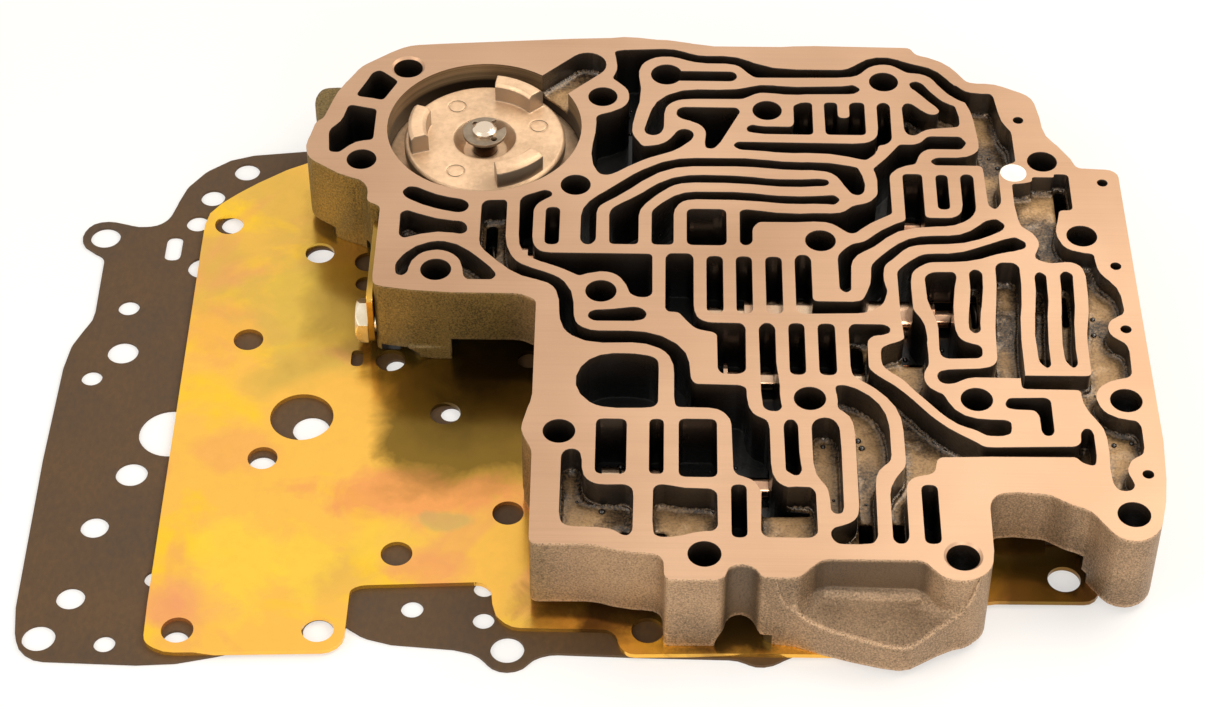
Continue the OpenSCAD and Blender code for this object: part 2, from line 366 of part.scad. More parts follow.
// Shallow passages along the right edge
shallow_passages = [
    [[101.8, 62.4], [101.8, 52], [102.9, 46.4], [104.8, 45], [106.2, 43.1], [106.9, 40.7], [106.4, 38.3],
     [105.5, 36.4], [105.5, 35], [107.1, 33.8], [109.5, 33.2], [111.9, 33.8], [114.3, 33.8], [116.2, 32.6],
     [117.2, 30.2], [117.1, 22], [116.7, 15], [115.8, 11], [115.5, 6], [115.4, -5.3], [98.6, -5.4],
     [98.6, -9.9], [112.5, -10], [112.3, -13], [113, -15.6], [114.4, -18.6], [116, -21], [117, -24],
     [117.1, -30], [116.8, -35], [117, -39.6], [118, -41.6], [119.8, -42], [121.4, -41.4], [122, -40],
     [121.4, -38], [120.7, -36], [121.2, -33.6], [122.4, -31.8], [124.6, -30.6], [125.3, -29],
     [125.4, -21.4], [124.4, -19.7], [121.6, -19.3], [119, -18.4], [117, -16.6], [116, -14], [115.7, -12],
     [116.6, -9.4], [118.4, -7.6], [121, -6.3], [124, -5.7], [125, -4.4], [125.2, 4], [124.4, 6],
     [122.6, 7.2], [121.2, 8.8], [120.8, 10.8], [121.3, 13], [122.9, 14.6], [124.8, 15.6], [125.4, 17],
     [125, 23.6], [123.6, 26.4], [120.7, 30], [120, 33.6], [120, 36.9], [116.2, 37.4], [113.3, 38.8],
     [111.9, 41.2], [111.2, 45], [112.4, 49.6], [112.8, 52.6], [116.3, 52.7], [116.3, 66.2], [112.6, 66.2],
     [112.6, 65], [107, 65], [107, 63.3], [104, 62.4]]
];

// Straight slots with round corners: low corner and high corner
deep_slots = [
    [[-15.1, 37.8], [-11.5, 51.5]], [[20, 38.2], [29.9, 51.5]],
    [[24.8, 14.3], [28.9, 34.4]], [[32, 14.3], [36, 34.4]], [[39.2, 14.3], [43.3, 34.4]],
    [[82.7, 52.4], [85.8, 65.4]], [[44.3, -6.2], [48.2, 11.2]], [[51.3, -6.2], [55.5, 11.2]],
    [[-1.1, -38.8], [6.1, -21.3]], [[11.3, -38.7], [14.7, -21.2]], [[18.1, -39.4], [27, -21]],
    [[30, -57.6], [33.6, -41.5]], [[73.2, -58.7], [77, -40.8]]
];
// Wells that go down to the full depth inside raised floors
deep_wells = [
    [[4.8, -57], [7.5, -49.6]], [[12.7, -57.3], [15.7, -49.6]], [[41.6, -57], [48.9, -54.2]],
    [[59.2, -58.4], [62.5, -46]], [[66.5, -58.3], [69.5, -46]], [[59.1, -4.6], [62.6, 10.8]],
    [[76, 81.4], [78, 92.6]], [[-30.1, 40.6], [-27.2, 52.6]], [[89.5, 18], [91.2, 29.8]],
    [[103.9, -2], [105.7, 8]], [[110.2, -1.8], [111.9, 7.6]], [[111.6, 19], [113.2, 29.6]],
    [[112.9, 53.2], [116, 65.8]]
];
// Keyhole passage: a round well with a straight channel
keyhole = [14.8, 103.6];
keyhole_r = 4.1;
keyhole_end = [31.2, 103.1];
keyhole_w = 4;
// Channel out of the accumulator bore
feed = [[-16, 97.2], [-6, 107.2]];
feed_w = 10;
feed_depth = 7;

// Edge of the separator plate, clockwise from the upper left
plate_edge = [
    [-104.4, 73], [-97, 80.5], [-89, 87.5], [-81, 92.6], [-60, 102], [-40, 104], [70, 104], [96, 92],
    [109, 74], [115, 58], [115.2, -53.2], [113, -55.4], [88, -55.6], [82, -60], [76, -69], [68, -72],
    [30, -72.2], [7.4, -72.9], [5.2, -71], [4.4, -67.4], [2.4, -65.7], [-19.4, -65.6], [-22.6, -63],
    [-24, -60], [-24.6, -54], [-27, -52.1], [-54.8, -53.6], [-57.1, -55], [-57.3, -70], [-60.4, -73],
    [-98, -74.4], [-102.8, -71.4], [-103.2, -60], [-104.4, 60]
];
// Holes of the plate: place and diameter
plate_holes = [
    [-98.1, 68.5, 7.4], [-73.7, 58.1, 7.4], [-88.8, 26.2, 7.4], [-73.1, -0.2, 15.4], [-81.3, -14, 7.2],
    [-95.4, -67.7, 7.4], [-63.5, -66.9, 7.4], [-47.1, -43.8, 7.4], [-21.7, -30.6, 7.4], [-38.3, 1.7, 7.4],
    [-52.9, 19.6, 7.4], [-61.2, 46.9, 5], [11.5, -65.8, 7.4], [107.5, -48.7, 7.6], [-18.5, 20.6, 6],
    [-61, 55, 7]
];
plate_slot = [[-62.7, 17.4], [-59.7, 23]];

// Edge of the gasket, clockwise from the lug at the upper left
gasket_edge = [
    [-135.6, 66.2], [-133.6, 69.4], [-129.8, 70.4], [-126, 69.6], [-121.7, 68.1], [-117, 68.8],
    [-114.4, 71], [-113, 75], [-112, 80.6], [-109.2, 87.3], [-103.5, 93], [-97.7, 96.5], [-81, 98.8],
    [-60, 101], [40, 101], [64, 92], [78, 76], [86, 58], [86, -54], [60, -60], [50, -69], [44, -71.4],
    [40, -74.2], [36, -74.8], [32, -72.6], [8, -72.3], [-10.6, -71.8], [-14.4, -73.4], [-16.4, -76.2],
    [-20, -77.4], [-23.6, -76.4], [-26.4, -72.8], [-30.4, -71], [-49.6, -69.4], [-55.4, -66.5],
    [-58, -64], [-80, -72], [-90.4, -75.2], [-99.6, -76.8], [-127.4, -76], [-131.4, -72.6],
    [-133.4, -64.6], [-134.2, -14.6], [-133.8, 20], [-131.9, 27.7], [-128.6, 33.5], [-129, 57],
    [-133.2, 59.2], [-135.8, 62.4]
];
// Holes of the gasket: place and diameter
gasket_holes = [
    [-129.8, 64.2, 7.7], [-95.8, 90.4, 6.7], [-103.7, 80, 6.3], [-106.5, 70, 6], [-103.4, 53.3, 7.6],
    [-120.4, 38.3, 5.4], [-119.8, 22.3, 7.7], [-126.3, 13.3, 5.2], [-104.5, -5, 15.6],
    [-112.3, -18.7, 7.7], [-118.8, -35.8, 6.7], [-121.3, -57.7, 6.7], [-102.6, -51.5, 5],
    [-126.9, -69.6, 7.7], [-111.7, -71, 5], [-42.5, -59.4, 5.2], [-26.2, -53, 5], [-26, -62.5, 5],
    [-20.2, -71, 7.7], [-95.6, -69.8, 6], [-63.5, -66.2, 7], [-97, 69.6, 6.6], [-73.2, 57.4, 8],
    [-37, 2.6, 5], [-70.6, -3.2, 9], [-81.3, -15.4, 6.6], [-51.4, 18.6, 5]
];
gasket_slot = [[-113.8, 55.9], [-109.6, 65]];

// Left wall, the cover plate on it and its bolt
wall_x = -56.6;
cover_seat = [[wall_x - 3, 20], [wall_x, 51.5]];
cover_low = [22, slab_z];
cover_high = [51, slab_z + 16];
bolt_y = 26.6;
bolt_z = face_z - 16;
bolt_head_h = 3.2;
bolt_shank_r = 2.9;
bolt_shank_l = 5.4;

function unit(v) = v / norm(v);

// Where the plug behind a retaining pin starts
function plug_x(pin) = pin.x - pin_r - plug_l;

// One corner of an outline at b, rounded between its neighbours a and c
function corner(a, b, c, r) =
    let (u = unit(a - b), v = unit(c - b), inside = acos(max(-1, min(1, u * v))), turn = 180 - inside)
    let (room = 0.46 * min(norm(a - b), norm(c - b)))
    let (reach = turn < 50 ? room : min(room, r / tan(inside / 2)), steps = ceil(turn / 24))
    turn < 6 ? [b] : [for (i = [0:steps]) let (t = i / steps)
        b + u * reach * (1 - t) * (1 - t) + v * reach * t * t];

// An outline with all its corners rounded
function rounded(edge, r) =
    let (n = len(edge))
    [for (i = [0:n - 1]) each corner(edge[(i + n - 1) % n], edge[i], edge[(i + 1) % n], r)];

// A rectangle from its low and high corners
function rectangle(low, high) = [low, [high.x, low.y], high, [low.x, high.y]];

// Move the plan to the part's own origin
module placed() translate([-origin.x, -origin.y, 0]) children();

module prism(edge, r, low, high)
    translate([0, 0, low]) linear_extrude(high - low) polygon(rounded(edge, r));

// A pocket cut from the machined face down
module pocket(edge, depth) prism(edge, corner_r, face_z - depth, face_z + 1);

module slot_pocket(corners, depth) {
    widest_r = (corners[1].x - corners[0].x) / 2 - 0.05;
    prism(rectangle(corners[0], corners[1]), min(corner_r + 0.4, widest_r), face_z - depth, face_z + 1);
}

// A straight channel with round ends, cut from the machined face down
module channel(from, to, width, depth) {
    run = to - from;
    ahead = atan2(run.y, run.x);
    half_turn = [for (i = [0:12]) 15 * i - 90];
    points = [
        for (a = half_turn) to + width / 2 * [cos(ahead + a), sin(ahead + a)],
        for (a = half_turn) from - width / 2 * [cos(ahead + a), sin(ahead + a)]
    ];
    translate([0, 0, face_z - depth]) linear_extrude(depth + 1) polygon(points);
}

// A cylinder along X in a valve bore
module along_bore(y, from, to, r)
    translate([from, y, bore_z]) rotate([0, 90, 0]) cylinder(r = r, h = to - from);

// A turned piece along a bore: each section is its start, its end and its radius
module turned(y, sections)
    translate([0, y, bore_z]) rotate([0, 90, 0]) rotate_extrude()
        polygon([[0, sections[0][0]], for (s = sections) each [[s[2], s[0]], [s[2], s[1]]],
            [0, sections[len(sections) - 1][1]]]);

// A round-wire coil along Z, from 0 to its length
module coil(mean_r, wire_r, length, turns) {
    sides = 6;
    per_turn = 10;
    rings = turns * per_turn;
    rise = (length - 2 * wire_r) / rings;
    points = [for (i = [0:rings]) for (k = [0:sides - 1])
        let (a = 360 * i / per_turn, b = 360 * k / sides, r = mean_r + wire_r * cos(b))
        [r * cos(a), r * sin(a), wire_r + i * rise + wire_r * sin(b)]];
    walls = [for (i = [0:rings - 1]) for (k = [0:sides - 1])
        let (p = i * sides + k, q = i * sides + (k + 1) % sides)
        each [[p, p + sides, q], [q, p + sides, q + sides]]];
    start = [[for (k = [0:sides - 1]) k]];
    end = [[for (k = [sides - 1:-1:0]) rings * sides + k]];
    polyhedron(points, concat(walls, start, end));
}

module valve_spring(y, from, to, turns)
    placed() translate([from + 0.05, y, bore_z]) rotate([0, 90, 0])
        coil(bore_r - valve_wire_d / 2 - 0.5, valve_wire_d / 2, to - from - 0.1, turns);

module bolt_pads(r, height)
    for (p = bolt_holes) translate([p.x, p.y, feet_z]) cylinder(r = r, h = height);

// The casting's solid form, before anything is cut
module casting_block() {
    prism(face_edge, 2, slab_z, face_z);
    prism(side_lobe, 3, slab_z, face_z - 4);
    intersection() {
        prism(face_edge, 2, feet_z, slab_z + 1);
        union() {
            bolt_pads(boss_r, foot_h + 1);
            for (e = wide_ends) translate([bore_rib_x, e[0] - bore_rib_w / 2, feet_z + 0.5])
                cube([outside_x - bore_rib_x, bore_rib_w, foot_h]);
            translate([accumulator.x, accumulator.y, feet_z + 1])
                cylinder(r = accumulator_r + accumulator_wall, h = foot_h);
            prism(rectangle(left_foot[0], left_foot[1]), 1, feet_z + 1, slab_z + 1);
        }
    }
    prism(leg_edge, 1.5, feet_z, slab_z + 1);
    translate([0, left_pad_reach[1], 0]) rotate([90, 0, 0])
        linear_extrude(left_pad_reach[1] - left_pad_reach[0]) polygon(rounded(left_pad, 2));
    ledge();
}

// Height of the ledge's top: a slope down to its front edge, and a fillet where the wall behind it goes up
function ledge_top(x, y) =
    let (gap = max(0, lookup(x, ledge_wall) - y), inside = max(0, ledge_fillet - gap))
    let (rise = ledge_fillet - sqrt(ledge_fillet * ledge_fillet - inside * inside))
    face_z - max(ledge_least_drop, lookup(x, ledge_drop) + ledge_slope * gap - rise);

// The ledge as columns of points from its front edge to its back, with a foot below each end
module ledge() {
    shares = [0, 0.3, 0.5, 0.68, 0.84, 0.95];
    rows = len(shares) + 1;
    last = len(ledge_columns) - 1;
    top = [for (x = ledge_columns)
        let (front = lookup(x, ledge_front), reach = max(lookup(x, ledge_wall) - front, ledge_least_depth))
        let (ys = concat([for (s = shares) front + s * reach], [ledge_back_y]))
        each [for (y = ys) [x, y, ledge_top(x, y)]]];
    low = [for (x = ledge_columns) each [[x, lookup(x, ledge_front), feet_z], [x, ledge_back_y, feet_z]]];
    under = len(top);
    roof = [for (i = [0:last - 1]) for (j = [0:rows - 2]) let (p = i * rows + j, q = p + rows)
        each [[p, p + 1, q + 1], [p, q + 1, q]]];
    front = [for (i = [0:last - 1]) [i * rows, (i + 1) * rows, under + 2 * i + 2, under + 2 * i]];
    back = [for (i = [0:last - 1]) let (p = (i + 1) * rows - 1, q = under + 2 * i + 1)
        [p + rows, p, q, q + 2]];
    foot = [for (i = [0:last - 1]) let (p = under + 2 * i) [p, p + 2, p + 3, p + 1]];
    left = [concat([for (j = [rows - 1:-1:0]) j], [under, under + 1])];
    right = [concat([for (j = [0:rows - 1]) last * rows + j], [under + 2 * last + 1, under + 2 * last])];
    polyhedron(concat(top, low), concat(roof, front, back, foot, left, right), convexity = 6);
}

// Hollows of the underside: the overhang at the left, the notch at the right and the arch beside the ledge
module underside_hollows() {
    difference() {
        prism(rectangle(left_hollow[0], left_hollow[1]), 2, 0, left_hollow_z);
        bolt_pads(bolt_r + hollow_wall, through);
    }
    prism(rectangle(notch_hollow[0], notch_hollow[1]), 2, 0, notch_hollow_z);
    translate([arch.x, arch.y, feet_z]) rotate([-90, 0, 0]) cylinder(r = arch_r, h = arch_l);
}

module casting_passages() {
    for (edge = deep_passages) pocket(edge, deep);
    for (edge = middling_passages) pocket(edge, middling);
    for (edge = shallow_passages) pocket(edge, shallow);
    for (s = deep_slots) slot_pocket(s, deep);
    for (s = deep_wells) slot_pocket(s, deep);
    translate([keyhole.x, keyhole.y, face_z - deep]) cylinder(r = keyhole_r, h = deep + 1);
    channel([keyhole.x, keyhole_end.y], keyhole_end, keyhole_w, deep);
    channel(feed[0], feed[1], feed_w, feed_depth);
}

module casting_bores() {
    for (b = valve_bores) along_bore(b[0], b[1], b[2], bore_r);
    for (e = wide_ends) along_bore(e[0], plug_x(e[1]) - 0.1, outside_x, counterbore_r);
    for (p = pins) translate([p.x, p.y, pin_foot_z]) cylinder(r = pin_hole_r, h = through);
    translate([accumulator.x, accumulator.y, accumulator_floor])
        cylinder(r = accumulator_r, h = through, $fn = 96);
    translate([accumulator.x, accumulator.y, 0]) cylinder(r = guide_d / 2, h = through);
    translate([cup_plug.x, cup_plug.y, face_z - cup_plug_h]) cylinder(r = cup_plug_r + 0.02, h = through);
    translate([wall_x - 5, bolt_y, bolt_z]) rotate([0, 90, 0])
        cylinder(r = bolt_shank_r + 0.05, h = bolt_shank_l + 5.2);
    for (p = bolt_holes) translate([p.x, p.y, 0]) cylinder(r = bolt_r, h = through);
    for (p = chamfered_holes) translate([p.x, p.y, face_z - chamfer])
        cylinder(r1 = bolt_r, r2 = bolt_r + chamfer, h = chamfer + 0.001);
}

module casting()
    color("tan") placed() difference() {
        casting_block();
        underside_hollows();
        casting_passages();
        casting_bores();
        prism(rectangle(cover_seat[0], cover_seat[1]), 0.5, 0, face_z - 1.5);
    }

module separator_plate()
    color("goldenrod") placed() difference() {
        prism(plate_edge, 4, plate_z, feet_z);
        for (h = plate_holes) translate([h[0], h[1], 0]) cylinder(d = h[2], h = through);
        prism(rectangle(plate_slot[0], plate_slot[1]), 1.4, -1, through);
    }

module gasket()
    color("dimgray") placed() difference() {
        prism(gasket_edge, 4, 0, gasket_t);
        for (h = gasket_holes) translate([h[0], h[1], -1]) cylinder(d = h[2], h = through);
        prism(rectangle(gasket_slot[0], gasket_slot[1]), 2, -1, through);
    }

module passage_plug()
    color("silver") placed() translate([cup_plug.x, cup_plug.y, face_z - cup_plug_h])
        cylinder(r = cup_plug_r, h = cup_plug_h);

module cover_plate()
    color("khaki") placed() difference() {
        translate([wall_x - cover_t, 0, 0]) rotate([90, 0, 90]) linear_extrude(cover_t)
            polygon(rounded(rectangle(cover_low, cover_high), 2.5));
        translate([wall_x - 5, bolt_y, bolt_z]) rotate([0, 90, 0]) cylinder(r = bolt_shank_r + 0.2, h = 10);
    }

module cover_bolt()
    color("gainsboro") placed() translate([wall_x - cover_t, bolt_y, bolt_z]) rotate([0, 90, 0]) {
        translate([0, 0, -bolt_head_h]) intersection() {
            cylinder(d = hex_af / cos(30), h = bolt_head_h, $fn = 6);
            cylinder(r1 = hex_af / 2 - 0.2, r2 = hex_af / 2 + 2.6, h = bolt_head_h);
        }
        cylinder(r = bolt_shank_r, h = cover_t + bolt_shank_l);
    }

disc_z = face_z - disc_drop;
disc_t = 3;
dish_z = disc_z - 4;
stem_r = 17.5;
skirt_low = accumulator_floor + 3.6;
skirt_high = skirt_low + 3.6;
groove_low = skirt_low + 0.7;
groove_high = groove_low + 2.2;
hub_r = 7.4;
hub_low = skirt_low + 1;
skirt_r = accumulator_r - clearance - 0.04;
groove_r = accumulator_r - 2.6;
spring_seat_z = disc_z - disc_t - 0.9;
spring_pocket_r = 14;
lug_z = disc_z + lug_h;
lug_in = 15;
lug_out = 19.6;
lug_angles = [62, 180, 302];
lug_span = 40;
lug_chamfer = 0.9;
mark_angles = [20, 122, 242];

module at_accumulator() placed() translate([accumulator.x, accumulator.y, 0]) children();

module accumulator_piston()
    color("lightgray") at_accumulator() {
        difference() {
            rotate_extrude($fn = 96) polygon([
                [guide_d / 2 + clearance, dish_z], [5.6, dish_z], [8.1, disc_z], [disc_d / 2 - 0.6, disc_z],
                [disc_d / 2, disc_z - 0.6], [disc_d / 2, disc_z - disc_t], [stem_r, disc_z - disc_t],
                [stem_r, skirt_high], [skirt_r, skirt_high], [skirt_r, groove_high], [groove_r, groove_high],
                [groove_r, groove_low], [skirt_r, groove_low], [skirt_r, skirt_low],
                [spring_pocket_r, skirt_low], [spring_pocket_r, spring_seat_z], [hub_r, spring_seat_z],
                [hub_r, hub_low], [guide_d / 2 + clearance, hub_low]
            ]);
            for (a = mark_angles) rotate([0, 0, a]) translate([14.6, 0, disc_z - 0.25]) difference() {
                cylinder(r = 2.4, h = 1);
                translate([0, 0, -0.5]) cylinder(r = 2, h = 3);
            }
        }
        for (a = lug_angles) rotate([0, 0, a - lug_span / 2]) rotate_extrude(angle = lug_span, $fn = 96)
            polygon([
                [lug_in, disc_z - 0.5], [lug_out, disc_z - 0.5], [lug_out, lug_z - lug_chamfer],
                [lug_out - lug_chamfer, lug_z], [lug_in + lug_chamfer, lug_z], [lug_in, lug_z - lug_chamfer]
            ]);
    }

module accumulator_ring()
    color("black") at_accumulator() rotate_extrude($fn = 96)
        translate([groove_r + 0.1, groove_low + 0.05]) square([2.5 - clearance, 2.1]);

clip_low = disc_z + 1.4;
clip_t = 0.9;
clip_r = 5.6;
guide_top = disc_z + 3.8;
guide_groove_r = 2.5;

module accumulator_pin()
    color("silver") at_accumulator() rotate_extrude() polygon([
        [0, feet_z + 1.2], [guide_d / 2, feet_z + 1.2], [guide_d / 2, clip_low - 0.03],
        [guide_groove_r, clip_low - 0.03], [guide_groove_r, clip_low + clip_t + 0.03],
        [guide_d / 2, clip_low + clip_t + 0.03], [guide_d / 2, guide_top - 0.7],
        [guide_d / 2 - 0.9, guide_top], [0, guide_top]
    ]);

module accumulator_clip()
    color("dimgray") at_accumulator() translate([0, 0, clip_low]) difference() {
        cylinder(r = clip_r, h = clip_t);
        translate([0, 0, -1]) cylinder(r = guide_groove_r + 0.05, h = 3);
        rotate([0, 0, 40]) translate([0, -1.9, -1]) cube([10, 3.8, 3]);
        for (a = [130, 310]) rotate([0, 0, a]) translate([3.9, 0, -1]) cylinder(r = 0.8, h = 3, $fn = 24);
    }

module accumulator_spring()
    color("dimgray") at_accumulator() translate([0, 0, accumulator_floor + 0.05])
        coil(10.6, 1, spring_seat_z - accumulator_floor - 0.1, 3);

module manual_valve()
    color("silver") placed() turned(manual_y, [
        [-7, 3.5, land_r], [3.5, 16.5, neck_r], [16.5, 29.5, land_r], [29.5, 34, neck_r], [34, 40, land_r],
        [40, 50, neck_r], [50, 58, land_r], [58, 71, neck_r], [71, 72.5, land_r], [72.5, 77.5, neck_r],
        [77.5, 80.5, land_r], [80.5, 84, neck_r], [84, 87.6, land_r]
    ]);

module detent_valve()
    color("silver") placed() turned(detent_y, [
        [47.2, 49.2, land_r], [49.2, 53, neck_r], [53, 55.2, land_r], [55.2, 59.3, neck_r],
        [59.3, 61.7, land_r], [61.7, 66.3, neck_r], [66.3, 68.8, land_r], [68.8, 72.8, neck_r],
        [72.8, 76, land_r]
    ]);

module low_shift_valve()
    color("silver") placed() turned(low_shift_y, [
        [73.2, 74.2, land_r], [74.2, 79.6, neck_r], [79.6, 82.5, land_r], [82.5, 86, neck_r],
        [86, 88.7, land_r], [88.7, 92.5, neck_r], [92.5, 97, land_r]
    ]);

module high_shift_valve()
    color("silver") placed() turned(high_shift_y, [
        [24, 25, land_r], [25, 34.3, neck_r], [34.3, 52, land_r], [52, 63.5, neck_r], [63.5, 81, land_r],
        [81, 86, neck_r], [86, 88.4, land_r]
    ]);

module regulator_valve()
    color("silver") placed() turned(regulator_y, [
        [29, 30, land_r], [30, 34.6, neck_r], [34.6, 36.8, land_r], [36.8, 41.6, neck_r],
        [41.6, 43.9, land_r], [43.9, 48.6, neck_r], [48.6, 50.9, land_r], [50.9, 55.9, neck_r],
        [55.9, 58.4, land_r], [58.4, 63.3, neck_r], [63.3, 78, land_r], [78, 90.6, neck_r], [90.6, 94, land_r]
    ]);

module timing_valve()
    color("silver") placed() turned(timing_y, [
        [-24.2, -19.5, land_r], [-19.5, -11.2, neck_r], [-11.2, -6.8, land_r], [-6.8, -2, neck_r],
        [-2, 0.3, land_r], [0.3, 8.5, neck_r], [8.5, 10.9, land_r], [10.9, 17.2, neck_r],
        [17.2, 19.6, land_r], [19.6, 27, neck_r], [27, 31.5, land_r]
    ]);

module pressure_valve()
    color("silver") placed() turned(pressure_y, [
        [-1.8, 0.4, neck_r], [0.4, 4.5, land_r], [4.5, 5, neck_r], [5, 7.5, land_r], [7.5, 11.3, neck_r],
        [11.3, 14, land_r], [14, 42.5, neck_r], [42.5, 44.9, land_r], [44.9, 48, neck_r], [48, 54, land_r]
    ]);

module boost_valve()
    color("silver") placed() turned(pressure_y, [
        [80.1, 86, land_r], [86, 104, neck_r], [104, 115.6, land_r]
    ]);

module detent_spring() color("gray") valve_spring(detent_y, 76, 96, 9);
module low_shift_spring() color("gray") valve_spring(low_shift_y, 97, plug_x(low_shift_pin), 9);
module high_shift_spring() color("gray") valve_spring(high_shift_y, 88.4, plug_x(high_shift_pin), 11);
module regulator_spring() color("gray") valve_spring(regulator_y, 94, plug_x(regulator_pin), 10);
module timing_spring() color("gray") valve_spring(timing_y, wall_x, -24.2, 13);
module pressure_spring() color("gray") valve_spring(pressure_y, 54, 80.1, 11);

// A plug that closes a bore just inside its pin
module bore_plug(y, pin, r)
    color("darkgray") placed() along_bore(y, plug_x(pin), pin.x - pin_r - 0.05, r);

module detent_plug() bore_plug(detent_y, detent_pin, land_r);
module low_shift_plug() bore_plug(low_shift_y, low_shift_pin, plug_r);
module high_shift_plug() bore_plug(high_shift_y, high_shift_pin, plug_r);
module regulator_plug() bore_plug(regulator_y, regulator_pin, plug_r);
module pressure_plug() bore_plug(pressure_y, pressure_pin, plug_r);

module retaining_pins()
    color("gray") placed() for (p = pins) translate([p.x, p.y, pin_foot_z])
        cylinder(r = pin_r, h = face_z - pin_head_drop - pin_foot_z, $fn = 24);

casting();
separator_plate();
gasket();
passage_plug();
cover_plate();
cover_bolt();
accumulator_piston();
accumulator_ring();
accumulator_pin();
accumulator_clip();
accumulator_spring();
manual_valve();
detent_valve();
low_shift_valve();
high_shift_valve();
regulator_valve();
timing_valve();
pressure_valve();
boost_valve();
detent_spring();
low_shift_spring();
high_shift_spring();
regulator_spring();
timing_spring();
pressure_spring();
detent_plug();
low_shift_plug();
high_shift_plug();
regulator_plug();
pressure_plug();
retaining_pins();
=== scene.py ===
import math
import random

import bpy
import bmesh
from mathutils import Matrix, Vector, noise
from mathutils.bvhtree import BVHTree
from mathutils.geometry import delaunay_2d_cdt
from mathutils.kdtree import KDTree


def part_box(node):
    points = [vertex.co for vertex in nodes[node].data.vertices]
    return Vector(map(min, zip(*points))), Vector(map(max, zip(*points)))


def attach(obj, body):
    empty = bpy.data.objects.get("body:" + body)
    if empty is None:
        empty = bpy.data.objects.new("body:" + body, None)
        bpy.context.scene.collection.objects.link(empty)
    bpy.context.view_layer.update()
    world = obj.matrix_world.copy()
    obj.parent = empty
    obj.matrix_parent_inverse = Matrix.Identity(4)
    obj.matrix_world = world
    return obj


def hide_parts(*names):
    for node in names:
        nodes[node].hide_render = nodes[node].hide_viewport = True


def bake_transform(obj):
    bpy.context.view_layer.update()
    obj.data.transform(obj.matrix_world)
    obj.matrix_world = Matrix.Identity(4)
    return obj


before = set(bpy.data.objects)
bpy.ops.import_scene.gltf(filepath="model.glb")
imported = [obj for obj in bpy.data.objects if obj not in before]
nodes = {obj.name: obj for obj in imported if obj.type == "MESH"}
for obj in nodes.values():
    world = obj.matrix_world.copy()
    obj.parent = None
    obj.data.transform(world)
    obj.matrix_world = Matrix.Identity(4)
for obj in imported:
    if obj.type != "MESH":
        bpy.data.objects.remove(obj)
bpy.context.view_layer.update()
scene = bpy.context.scene
mm = 0.001
rootBody = "valve_body"
print("frame loaded:", len(nodes), "nodes")


# how the part is seen and lit, lengths in mm in the part's own frame
viewSettings = {
    "camera": (12.56, -524.37, 528.6),
    "target": (2.89, -20.87, 25.0),
    "lens": 89.63, "sensor": 36, "clip": (10, 20000),
    "keyPlace": (420, 200, 560), "keySize": 620, "keyPower": 3.4, "keyColour": (1.0, 0.92, 0.8),
    "fillPlace": (-520, -260, 420), "fillSize": 500, "fillPower": 1.7, "fillColour": (1.0, 0.95, 0.88),
    "frontPlace": (160, -700, 260), "frontSize": 420, "frontPower": 2.5, "frontColour": (1.0, 0.94, 0.86),
    "worldColour": (1.0, 0.97, 0.93), "worldLight": 0.62,
    "floorColour": (0.93, 0.915, 0.9), "floorRough": 0.8, "floorHalf": 4000, "floorDrop": 0.02,
    "floorGlow": 0.5, "glowColour": (1.0, 0.995, 0.98),
}


def inMetres(point):
    return Vector(point) * mm


def linear(red, green, blue):
    # an 8-bit screen colour as the shader's own values
    def one(c):
        c = c / 255
        return c / 12.92 if c <= 0.04045 else ((c + 0.055) / 1.055) ** 2.4
    return (one(red), one(green), one(blue), 1.0)


